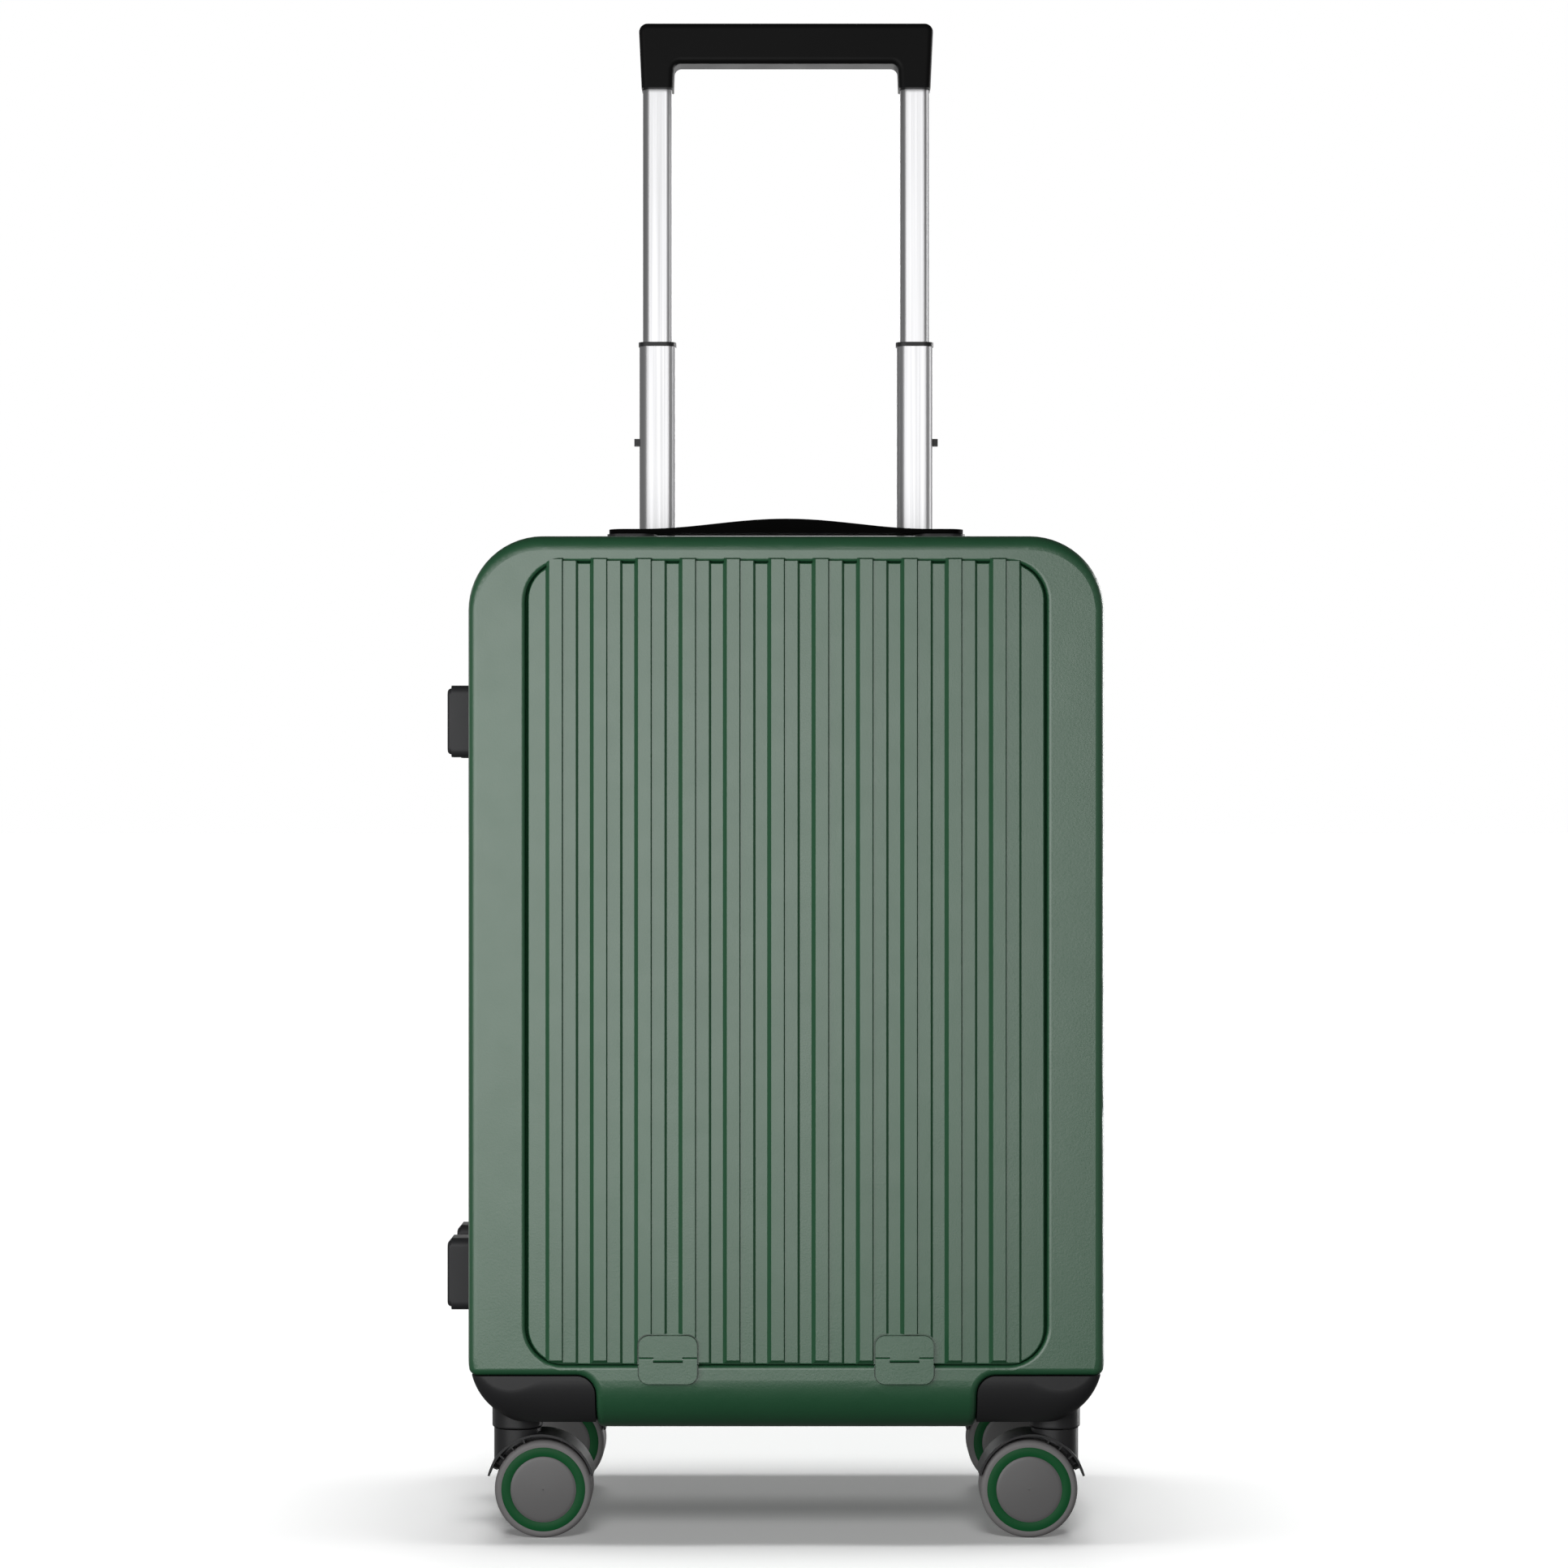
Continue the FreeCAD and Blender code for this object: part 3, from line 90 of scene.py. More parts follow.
# ---------------------------------------------------------------- studio
SENSOR, LENS = 36.0, 90.1               # millimetres of film, as Blender counts them
CAMERA_DISTANCE, CAMERA_HEIGHT = 2.106, 0.4098      # from the front of the case, and above the floor
CAMERA_LEFT = 1.2 * MM                  # how far left of the case's middle it stands
VIEW_REACH = 60
SURROUND = 0.2                          # brightness of the surround away from the lamps
OVERHEAD_SHARE = 0.2                    # what is left of it straight above and below
FADE_START, FADE_END = 0.1, 0.8         # sines of the angles between which it fades
FLOOR_REACH = 30.0
FLOOR_WHITE, FLOOR_GLOW = 0.9, 0.12     # colour of the floor, and the light that it gives off itself

# ---------------------------------------------------------------- places read from the frame
shell_low, shell_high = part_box("front_shell")
MIDDLE_X = (shell_low.x + shell_high.x) / 2
SHELL_HALF = (shell_high.x - shell_low.x) / 2       # half the width at the zip
ZIP_LOW, ZIP_HIGH = shell_low.z, shell_high.z
FACE_DEPTH = -shell_low.y
FACE_HALF = SHELL_HALF - 3 * MM         # half the width at the face, where the shell has drawn in
ZIP_GAP = 5 * MM                        # from the middle plane to the rim of each half
CORNER = 40 * MM                        # radius of the outline's corners
LINING_INSET = 4 * MM                   # from the outside of the shell to the cloth
LINING_START = 15.7 * MM                # depth at which the cloth begins, behind the zip tape
LINING_MIDDLE = (ZIP_LOW + ZIP_HIGH) / 2
LINING_BACK_REAR, LINING_BACK_FRONT = 63 * MM, 59.3 * MM
gusset_low, gusset_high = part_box("hinge_gusset")
lock_low, lock_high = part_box("lock_body")
# the pockets that the casters sit in, seen from inside the case
POCKET_X, POCKET_TOP, POCKET_BACK = 100 * MM, 94.5 * MM, 43 * MM


# ---------------------------------------------------------------- camera, light and floor
def make_camera():
    """Level camera straight in front of the case."""
    data = bpy.data.cameras.new("camera")
    data.sensor_width = SENSOR
    data.lens = LENS
    data.clip_end = VIEW_REACH
    camera = bpy.data.objects.new("camera", data)
    bpy.context.scene.collection.objects.link(camera)
    camera.location = (MIDDLE_X - CAMERA_LEFT, cad_low.y - CAMERA_DISTANCE, CAMERA_HEIGHT)
    camera.rotation_euler = (math.pi / 2, 0, 0)
    bpy.context.scene.camera = camera


def softbox(name, place, aim, size, power):
    """Rectangular studio lamp, which glossy surfaces mirror and the camera doesn't see."""
    data = bpy.data.lights.new(name, "AREA")
    data.shape = "RECTANGLE"
    data.size, data.size_y = size
    data.energy = power
    lamp = bpy.data.objects.new(name, data)
    bpy.context.scene.collection.objects.link(lamp)
    lamp.location = place
    lamp.rotation_euler = (Vector(aim) - Vector(place)).to_track_quat("-Z", "Y").to_euler()
    lamp.visible_camera = False
    return lamp


def make_world():
    """White backdrop for the camera, and a dim surround for what the lamps don't reach, darker overhead."""
    world = bpy.data.worlds.new("studio")
    bpy.context.scene.world = world
    world.use_nodes = True
    tree = world.node_tree
    background = tree.nodes["Background"]
    background.inputs["Color"].default_value = (1, 1, 1, 1)
    path = tree.nodes.new("ShaderNodeLightPath")
    level = tree.nodes.new("ShaderNodeMapRange")
    level.inputs["To Max"].default_value = 1.0
    direction = tree.nodes.new("ShaderNodeTexCoord")
    parts = tree.nodes.new("ShaderNodeSeparateXYZ")
    height = tree.nodes.new("ShaderNodeMath")
    height.operation = "ABSOLUTE"
    fade = tree.nodes.new("ShaderNodeMapRange")
    for key, value in (("From Min", FADE_START), ("From Max", FADE_END),
                       ("To Min", SURROUND), ("To Max", SURROUND * OVERHEAD_SHARE)):
        fade.inputs[key].default_value = value
    tree.links.new(direction.outputs["Generated"], parts.inputs["Vector"])
    tree.links.new(parts.outputs["Z"], height.inputs[0])
    tree.links.new(height.outputs["Value"], fade.inputs["Value"])
    tree.links.new(fade.outputs["Result"], level.inputs["To Min"])
    tree.links.new(path.outputs["Is Camera Ray"], level.inputs["Value"])
    tree.links.new(level.outputs["Result"], background.inputs["Strength"])


def make_floor():
    """White floor that reaches past the view and adds no light of its own to the case."""
    corners = [(x * FLOOR_REACH, y * FLOOR_REACH, 0) for x, y in ((-1, -1), (1, -1), (1, 1), (-1, 1))]
    mesh = bpy.data.meshes.new("floor")
    mesh.from_pydata(corners, [], [(0, 1, 2, 3)])
    floor = bpy.data.objects.new("floor", mesh)
    bpy.context.scene.collection.objects.link(floor)
    material, shader, _ = new_material("floor_white")
    shader.inputs["Base Color"].default_value = grey(FLOOR_WHITE)
    shader.inputs["Roughness"].default_value = 0.9
    shader.inputs["Specular IOR Level"].default_value = 0.0
    shader.inputs["Emission Color"].default_value = (1, 1, 1, 1)
    shader.inputs["Emission Strength"].default_value = FLOOR_GLOW
    floor.data.materials.append(material)
    floor.visible_diffuse = False
    floor.visible_glossy = False
    floor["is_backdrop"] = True


def sun(name, energy, spread, lean_x=0.0, lean_y=0.0):
    """Overhead light with soft shadows; spread and leans in degrees."""
    data = bpy.data.lights.new(name, "SUN")
    data.energy = energy
    data.angle = math.radians(spread)
    lamp = bpy.data.objects.new(name, data)
    bpy.context.scene.collection.objects.link(lamp)
    lamp.rotation_euler = (math.radians(lean_y), math.radians(lean_x), 0)
    lamp.visible_glossy = False
    return lamp


def make_lights():
    """Lamps for the case and its edges, for the bright tubes, and overhead ones for the floor's shadow."""
    case_middle, tubes_middle = (0, 0, 0.35), (0, 0, 0.7)
    case_lamps = [
        softbox("front", place=(-0.55, -1.35, 0.4), aim=(-0.08, 0, 0.38), size=(1.8, 1.1), power=20.5),
        sun("top", energy=0.08, spread=50),
        softbox("rim_left", place=(-1.5, 1.3, 0.5), aim=case_middle, size=(0.8, 1.5), power=3.0),
        softbox("rim_right", place=(1.6, 1.3, 0.5), aim=case_middle, size=(0.5, 1.5), power=34),
        softbox("back", place=(0.1, 2.0, 0.6), aim=case_middle, size=(0.8, 1.2), power=7),
    ]
    tube_lamps = [
        softbox("tubes_front", place=(0.12, -1.5, 0.75), aim=tubes_middle, size=(1.6, 1.2), power=9.8),
        softbox("tubes_right", place=(1.5, 0.2, 0.75), aim=tubes_middle, size=(0.5, 1.4), power=3.6),
        softbox("tubes_back", place=(0.2, 2.0, 0.8), aim=tubes_middle, size=(1.6, 1.2), power=18),
    ]
    floor_lamps = [sun(f"floor_{lean}", energy=0.76, spread=14, lean_x=lean) for lean in (-11, 0, 11)]
    floor_lamps += [
        sun("floor_front", energy=0.8, spread=20, lean_y=48),
        sun("floor_back", energy=0.5, spread=20, lean_y=-48),
    ]
    bpy.context.scene.view_settings.view_transform = "Standard"
    return case_lamps, tube_lamps, floor_lamps


def share_lights(case_lamps, tube_lamps, floor_lamps):
    """Each set of lamps lights only its own: the case, its bright tubes, or the floor."""
    tubes = [NODES["inner_tubes"], NODES["middle_tubes"]]
    case = [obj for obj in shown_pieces() if obj not in tubes]
    for name, lamps, members in (("case_lit", case_lamps, case), ("tubes_lit", tube_lamps, tubes),
                                 ("floor_lit", floor_lamps, [bpy.data.objects["floor"]])):
        lit = bpy.data.collections.new(name)
        for obj in members:
            lit.objects.link(obj)
        for lamp in lamps:
            lamp.light_linking.receiver_collection = lit


# ---------------------------------------------------------------- materials
def grey(level):
    """Grey as a colour with its alpha, at most white."""
    return [min(level, 1)] * 3 + [1]


def new_material(name):
    material = bpy.data.materials.new(name)
    material.use_nodes = True
    tree = material.node_tree
    return material, tree.nodes["Principled BSDF"], tree


def bump(tree, shader, height, strength, distance):
    """Raise the surface by a height from 0 to 1; distance in metres."""
    made = tree.nodes.new("ShaderNodeBump")
    made.inputs["Strength"].default_value = strength
    made.inputs["Distance"].default_value = distance
    tree.links.new(height, made.inputs["Height"])
    tree.links.new(made.outputs["Normal"], shader.inputs["Normal"])


def object_coordinates(tree):
    return tree.nodes.new("ShaderNodeTexCoord").outputs["Object"]


def noise(tree, scale, detail=2.0, roughness=0.5):
    """Noise on the object's own metres."""
    made = tree.nodes.new("ShaderNodeTexNoise")
    made.inputs["Scale"].default_value = scale
    made.inputs["Detail"].default_value = detail
    made.inputs["Roughness"].default_value = roughness
    tree.links.new(object_coordinates(tree), made.inputs["Vector"])
    return made


def ramp(tree, factor, low, high):
    """Colour that runs from one (position, colour) stop to another."""
    made = tree.nodes.new("ShaderNodeValToRGB")
    first, last = made.color_ramp.elements
    first.position, first.color = low
    last.position, last.color = high
    tree.links.new(factor, made.inputs["Fac"])
    return made


def vary(tree, socket, colour, amount, scale):
    """Feed a colour that drifts a little in brightness over the surface."""
    soft = noise(tree, scale, 3.0)
    low = [c * (1 - amount) for c in colour] + [1]
    high = [min(c * (1 + amount), 1) for c in colour] + [1]
    mixed = ramp(tree, soft.outputs["Fac"], (0.3, low), (0.7, high))
    tree.links.new(mixed.outputs["Color"], socket)


def plastic(name, colour, roughness, grain_scale=2600, grain=0.1, drift=0.06, specular=0.5,
            grain_depth=0.06 * MM):
    """Moulded plastic: a faint drift of colour and gloss, and the fine grain of the mould."""
    material, shader, tree = new_material(name)
    vary(tree, shader.inputs["Base Color"], colour, drift, scale=9)
    shader.inputs["Specular IOR Level"].default_value = specular
    rough = noise(tree, scale=60, detail=4.0)
    levels = ramp(tree, rough.outputs["Fac"],
                  (0.25, grey(roughness * 0.96)), (0.75, grey(roughness * 1.04)))
    tree.links.new(levels.outputs["Color"], shader.inputs["Roughness"])
    fine = noise(tree, grain_scale, roughness=0.6)
    bump(tree, shader, fine.outputs["Fac"], grain, grain_depth)
    return material


def metal(name, colour, roughness, line_scale=900, lines=(1, 1, 0.004)):
    """Metal with fine marks; lines stretches them, by default along Z as on a drawn tube."""
    material, shader, tree = new_material(name)
    vary(tree, shader.inputs["Base Color"], colour, 0.03, scale=7)
    shader.inputs["Metallic"].default_value = 1.0
    mapping = tree.nodes.new("ShaderNodeMapping")
    mapping.inputs["Scale"].default_value = lines
    tree.links.new(object_coordinates(tree), mapping.inputs["Vector"])
    streak = tree.nodes.new("ShaderNodeTexNoise")
    streak.inputs["Scale"].default_value = line_scale
    streak.inputs["Detail"].default_value = 3.0
    tree.links.new(mapping.outputs["Vector"], streak.inputs["Vector"])
    levels = ramp(tree, streak.outputs["Fac"], (0.2, grey(roughness * 0.75)), (0.8, grey(roughness * 1.3)))
    tree.links.new(levels.outputs["Color"], shader.inputs["Roughness"])
    bump(tree, shader, streak.outputs["Fac"], strength=0.08, distance=0.02 * MM)
    return material


def woven(name, colour, thread=0.7 * MM):
    """Plain weave: two crossed waves of threads on the surface's own metres."""
    material, shader, tree = new_material(name)
    coordinates = object_coordinates(tree)
    waves = []
    for axis in ("X", "Z"):
        wave = tree.nodes.new("ShaderNodeTexWave")
        wave.bands_direction = axis
        wave.inputs["Scale"].default_value = 1 / thread / (2 * math.pi)
        wave.inputs["Distortion"].default_value = 0.4
        tree.links.new(coordinates, wave.inputs["Vector"])
        waves.append(wave)
    weave = tree.nodes.new("ShaderNodeMath")
    weave.operation = "MULTIPLY"
    for wave, factor in zip(waves, weave.inputs):
        tree.links.new(wave.outputs["Fac"], factor)
    dark = [c * 0.6 for c in colour] + [1]
    light = [min(c * 1.25, 1) for c in colour] + [1]
    shade = ramp(tree, weave.outputs["Value"], (0.0, dark), (0.8, light))
    tree.links.new(shade.outputs["Color"], shader.inputs["Base Color"])
    shader.inputs["Roughness"].default_value = 0.9
    shader.inputs["Sheen Weight"].default_value = 0.3
    bump(tree, shader, weave.outputs["Value"], strength=0.5, distance=0.25 * MM)
    return material


def make_materials():
    """One material for each slot of the record and each kind of piece made here."""
    return {
        "shell": plastic("shell_green", (0.0155, 0.088, 0.036), 0.38, 1000, 0.4,
                         drift=0.04, specular=1.0, grain_depth=0.14 * MM),
        "black_plastic": plastic("black_nylon", (0.021, 0.021, 0.022), 0.42, 2200, 0.15, specular=0.3),
        "grip_plastic": plastic("grip_black", (0.007, 0.007, 0.007), 0.45, 2600, 0.12, specular=0.08),
        "strap_rubber": plastic("strap_black", (0.003, 0.003, 0.003), 0.7, 2400, 0.15, specular=0.03),
        "foot_plastic": plastic("foot_grey", (0.026, 0.026, 0.028), 0.5, 2200, 0.2, specular=0.3),
        "tyre_rubber": plastic("tyre_grey", (0.165, 0.16, 0.16), 0.6, 2400, 0.15),
        "hub_plastic": plastic("hub_grey", (0.112, 0.11, 0.11), 0.42, 3000, 0.08),
        "ring_green": plastic("ring_green", (0.007, 0.08, 0.024), 0.45, 3000, 0.08, specular=0.12),
        "dial_plastic": plastic("dial_black", (0.02, 0.02, 0.022), 0.25, 3000, 0.05),
        "number_white": plastic("number_white", (0.75, 0.75, 0.74), 0.5, 3000, 0.05),
        "zip_coil": plastic("zip_coil", (0.018, 0.03, 0.022), 0.4, 3000, 0.05),
        "tube_aluminium": metal("tube_aluminium", (0.72, 0.72, 0.73), 0.36),
        "steel": metal("plain_steel", (0.55, 0.55, 0.56), 0.35, 600, lines=(1, 1, 1)),
        "zip_metal": metal("zip_metal", (0.16, 0.16, 0.17), 0.3, 500, lines=(1, 1, 1)),
        "zip_tape": woven("zip_tape", (0.02, 0.045, 0.03)),
        "lining": woven("lining", (0.06, 0.07, 0.065), thread=0.9 * MM),
        "webbing": woven("webbing", (0.02, 0.022, 0.021), thread=1.2 * MM),
    }


MATERIALS = make_materials()


def paint(obj, key):
    obj.data.materials.clear()
    obj.data.materials.append(MATERIALS[key])


def dress_cad_nodes():
    """Each CAD node gets the material that the record names for it."""
    slots = {part["node"]: part["material_slot"] for part in RECORD["subparts"]}
    for name, obj in NODES.items():
        paint(obj, slots[name])


# ---------------------------------------------------------------- mesh helpers
SAME_PLACE = 0.001 * MM         # points nearer than this are one


def piece(name, points, faces, body, material, smooth_degrees=40):
    """Mesh object from points in metres, smoothed, painted and riding on a body."""
    mesh = bpy.data.meshes.new(name)
    mesh.from_pydata([tuple(point) for point in points], [], faces)
    obj = bpy.data.objects.new(name, mesh)
    bpy.context.scene.collection.objects.link(obj)
    form = bmesh.new()
    form.from_mesh(mesh)
    bmesh.ops.remove_doubles(form, verts=form.verts, dist=SAME_PLACE)
    bmesh.ops.recalc_face_normals(form, faces=form.faces)
    form.to_mesh(mesh)
    form.free()
    smooth(obj, smooth_degrees)
    paint(obj, material)
    if body:
        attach(obj, body)
    return obj


def smooth(obj, degrees):
    """Smooth shading that keeps the corners sharper than the angle."""
    mesh = obj.data
    mesh.polygons.foreach_set("use_smooth", [True] * len(mesh.polygons))
    mesh.set_sharp_from_angle(angle=math.radians(degrees))


def grid_faces(rows, columns):
    """Faces of an open sheet whose points lie row after row."""
    faces = []
    for row in range(rows):
        for column in range(columns):
            first = row * (columns + 1) + column
            faces.append((first, first + 1, first + columns + 2, first + columns + 1))
    return faces


def tube_faces(rings, count, base=0):
    """Faces between closed rings of count points each, the first of which is point number base."""
    faces = []
    for ring in range(rings - 1):
        for k in range(count):
            here, beside = base + ring * count + k, base + ring * count + (k + 1) % count
            faces.append((here, beside, beside + count, here + count))
    return faces


def path_length(path):
    return sum((second - first).length for first, second in zip(path, path[1:]))


def lathe(name, profile, centre, way, body, material, steps=96):
    """Turn a profile of (radius, distance out) about the axis through centre along Y; way is -1 or 1."""
    points, faces = [], []
    for step in range(steps):
        turn = 2 * math.pi * step / steps
        for radius, out in profile:
            points.append(centre + Vector((radius * math.cos(turn), way * out, radius * math.sin(turn))))
    count = len(profile)
    for step in range(steps):
        here, there = step * count, (step + 1) % steps * count
        for k in range(count - 1):
            faces.append((here + k, here + k + 1, there + k + 1, there + k))
    return piece(name, points, faces, body, material)


def resample(path, count):
    """Evenly spaced points along a polyline, ends included."""
    lengths = [0.0]
    for first, second in zip(path, path[1:]):
        lengths.append(lengths[-1] + (Vector(second) - Vector(first)).length)
    result, segment = [], 0
    for number in range(count):
        target = lengths[-1] * number / (count - 1)
        while segment < len(path) - 2 and lengths[segment + 1] < target:
            segment += 1
        share = (target - lengths[segment]) / max(lengths[segment + 1] - lengths[segment], 1e-9)
        result.append(Vector(path[segment]).lerp(Vector(path[segment + 1]), min(share, 1)))
    return result


def corner(centre, radius, first, last, steps=12):
    """Points of an arc in the plane of the shell's outline, angles in degrees."""
    turns = [math.radians(first + (last - first) * k / steps) for k in range(steps + 1)]
    return [(centre[0] + radius * math.cos(t), centre[1] + radius * math.sin(t)) for t in turns]


# ---------------------------------------------------------------- wheels
def make_wheel_faces():
    """Green ring in the groove of each wheel and a slightly domed disc inside it."""
    deep, shallow, rise, edge, play = 0.55 * MM, 0.05 * MM, 0.08 * MM, 0.25 * MM, 0.04 * MM
    dome_foot, dome_rise = 0.22 * MM, 0.75 * MM
    for place in PLACES:
        low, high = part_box(f"caster_hubs_{place}")
        radius = (high.z - low.z) / 2
        inner = radius * 0.785
        ring = [(inner, -deep), (inner, -shallow), (inner + edge, rise), ((inner + radius) / 2, 0.14 * MM),
                (radius - edge, rise), (radius - play, -shallow), (radius - play, -deep)]
        disc = [(inner - 0.15 * MM, -0.2 * MM), (inner - 0.2 * MM, 0.0), (inner - 0.7 * MM, dome_foot)]
        for share in (0.9, 0.75, 0.5, 0.25, 0.02):
            disc.append((inner * share, dome_foot + dome_rise * (1 - share ** 2)))
        for face, y, way in (("front", low.y, -1), ("rear", high.y, 1)):
            centre = Vector(((low.x + high.x) / 2, y, (low.z + high.z) / 2))
            body = f"caster_wheels_{place}"
            lathe(f"wheel_ring_{place}_{face}", ring, centre, way, body, "ring_green")
            lathe(f"wheel_disc_{place}_{face}", disc, centre, way, body, "hub_plastic")


# ---------------------------------------------------------------- zip
def shell_line(inset):
    """Right half of the shell's outline at the zip, from the bottom's middle to the top's middle."""
    half, low, high, radius = SHELL_HALF - inset, ZIP_LOW + inset, ZIP_HIGH - inset, CORNER - inset
    right = [(0, low)] + corner((half - radius, low + radius), radius, -90, 0)
    return right + corner((half - radius, high - radius), radius, 0, 90) + [(0, high)]


def zip_path(inset, clear):
    """Line of the zip, from the foot of the cloth hinge round the right side to its head."""
    right = shell_line(inset)
    left = [(-x, z) for x, z in reversed(right)]
    below = [(x, z) for x, z in left if z < gusset_low.z - clear]
    above = [(x, z) for x, z in left if z > gusset_high.z + clear]
    return [Vector(spot) for spot in below + right[1:] + above[1:]]


def make_zip_coils():
    """Interlocking teeth along the top, the right side and the bottom, half on each tape."""
    pitch, inset, lift = 2.4 * MM, 0.9 * MM, 0.25
    path = zip_path(inset, clear=4 * MM)
    spots = resample(path, int(path_length(path) / pitch) * 2)
    # the tooth in mm: its six-sided section, along and across the zip, and (place, size) from root to tip
    section = [(0.52, 0.0), (0.36, 0.55), (-0.36, 0.55), (-0.52, 0.0), (-0.36, -0.55), (0.36, -0.55)]
    stations = ((2.7, 0.75), (1.9, 1.0), (0.1, 1.0), (-0.7, 0.8))
    sides = len(section)
    for label, side in (("front", -1), ("rear", 1)):
        points, faces = [], []
        for number in range(1 + (side > 0), len(spots) - 1, 2):
            along = (spots[number + 1] - spots[number - 1]).normalized()
            out = Vector((along.y, -along.x))
            base = len(points)
            for y, grow in stations:
                for t, n in section:
                    flat = spots[number] + along * t * grow * MM + out * (n * grow + lift) * MM
                    points.append((MIDDLE_X + flat.x, side * y * MM, flat.y))
            faces += tube_faces(len(stations), sides, base)
            faces.append(tuple(range(base, base + sides)))
            faces.append(tuple(reversed(range(len(points) - sides, len(points)))))
        piece(f"zip_teeth_{label}", points, faces, f"{label}_half", "zip_coil", 50)


# ---------------------------------------------------------------- linings
def lining_half(half, low, high, radius, notch):
    """Right half of a lining's outline; notch from 0 to 1 steps it in over the caster pocket."""
    step_x, step_z = POCKET_X - 2 * MM, POCKET_TOP + 3 * MM
    bottom = resample([(0, low), (step_x, low)], 16)
    smooth_corner = resample([(step_x, low)] + corner((half - radius, low + radius), radius, -90, 0)
                             + [(half, max(step_z, low + radius))], 24)
    chamfer = 6 * MM
    step = [(step_x, low), (step_x, step_z - chamfer), (step_x + chamfer, step_z), (half, step_z)]
    stepped = resample(step, 24)
    turn = [a.lerp(b, notch) for a, b in zip(smooth_corner, stepped)]
    side = resample([turn[-1]] + corner((half - radius, high - radius), radius, 0, 90) + [(0, high)], 60)
    return bottom + turn[1:] + side[1:]


def lining_loop(depth, notch):
    """Closed outline of a lining at one depth from the middle plane, before its folds."""
    share = (FACE_DEPTH - depth) / (FACE_DEPTH - ZIP_GAP)
    half = FACE_HALF + share * (SHELL_HALF - FACE_HALF) - LINING_INSET
    right = lining_half(half, ZIP_LOW + 1.2 * MM + LINING_INSET, ZIP_HIGH - 2.6 * MM - LINING_INSET,
                        CORNER - LINING_INSET, notch)
    return [tuple(spot) for spot in right] + [(-x, z) for x, z in reversed(right[1:-1])]


def lock_dent(x, z):
    """How far the cloth at x, z steps in to pass the lock, faded out above and below it."""
    clear, fade = 2 * MM, 14 * MM
    past = abs(z - (lock_low.z + lock_high.z) / 2) - (lock_high.z - lock_low.z) / 2 - clear
    return max(0, x - lock_low.x + 1 * MM) * min(max(1 - past / fade, 0), 1)


def lining_ring(depth, back, side):
    """Points of the lining's side at one depth; shallow folds run from the zip to the back."""
    fold_depth, usual_half = 1.1 * MM, 0.17
    notch = min(max((depth - POCKET_BACK + 9 * MM) / (4 * MM), 0), 1)
    inwards = min((depth - LINING_START) / (back - LINING_START), 1)
    ring = []
    for number, (x, z) in enumerate(lining_loop(depth, notch)):
        drift = 2.2 * math.sin(depth * 90) + 1.7 * math.sin(number * 0.21)
        fold = 0.5 + 0.5 * math.sin(number * 0.83 + drift)
        pull = 1 - fold_depth * fold * math.sin(math.pi * inwards) / usual_half
        dent = lock_dent(MIDDLE_X + x * pull, z) if side > 0 and x > 0 else 0
        ring.append((MIDDLE_X + x * pull - dent, side * depth, LINING_MIDDLE + (z - LINING_MIDDLE) * pull))
    return ring


def lining_back(last_ring, back, side):
    """Rings that close the back: each is (share of the last ring, rise in mm), with faint quilting."""
    quilt_depth, quilt_waves = 0.9 * MM, 26
    rings = []
    for scale, lift in ((0.985, 0.3), (0.955, 1.0), (0.9, 1.9), (0.82, 2.6), (0.7, 3.0), (0.55, 3.1),
                        (0.38, 3.1), (0.2, 3.1), (0.06, 3.1)):
        ring = []
        for x, _, z in last_ring:
            dx, dz = (x - MIDDLE_X) * scale, (z - LINING_MIDDLE) * scale
            waves = abs(math.sin(dx * quilt_waves)) * abs(math.sin(dz * quilt_waves))
            quilt = quilt_depth * waves ** 0.6 if scale < 0.9 else 0
            ring.append((MIDDLE_X + dx, side * (back - lift * MM - quilt), LINING_MIDDLE + dz))
        rings.append(ring)
    return rings


def make_lining(name, side, body, back):
    """Cloth lining of one half: sides from the zip inwards and a softly padded back."""
    steps = 24
    depths = [LINING_START + (back - LINING_START) * k / steps for k in range(steps + 1)]
    rings = [lining_ring(depth, back, side) for depth in depths]
    rings += lining_back(rings[-1], back, side)
    count = len(rings[0])
    points = [point for ring in rings for point in ring]
    faces = tube_faces(len(rings), count)
    faces.append(tuple(range(len(points) - count, len(points))))
    cloth = piece(name, points, faces, None, "lining", 60)
    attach(cloth, body)


def ribbon(name, path, across, width, thick, body, material):
    """Flat webbing along a path of points; its width is square to the path and to the direction across."""
    rim, shoulder = 0.2, 0.94           # shares of the thickness at the rim and of the width at the faces
    sides = 8
    points = []
    for number, spot in enumerate(path):
        ahead = path[min(number + 1, len(path) - 1)] - path[max(number - 1, 0)]
        wide = across.cross(ahead).normalized() * width / 2
        up = wide.cross(ahead).normalized() * thick / 2
        points += [spot - wide - up * rim, spot - wide * shoulder - up, spot + wide * shoulder - up,
                   spot + wide - up * rim, spot + wide + up * rim, spot + wide * shoulder + up,
                   spot - wide * shoulder + up, spot - wide + up * rim]
    faces = tube_faces(len(path), sides)
    faces.append(tuple(range(sides)))
    faces.append(tuple(reversed(range(len(points) - sides, len(points)))))
    return piece(name, points, faces, body, material, 50)


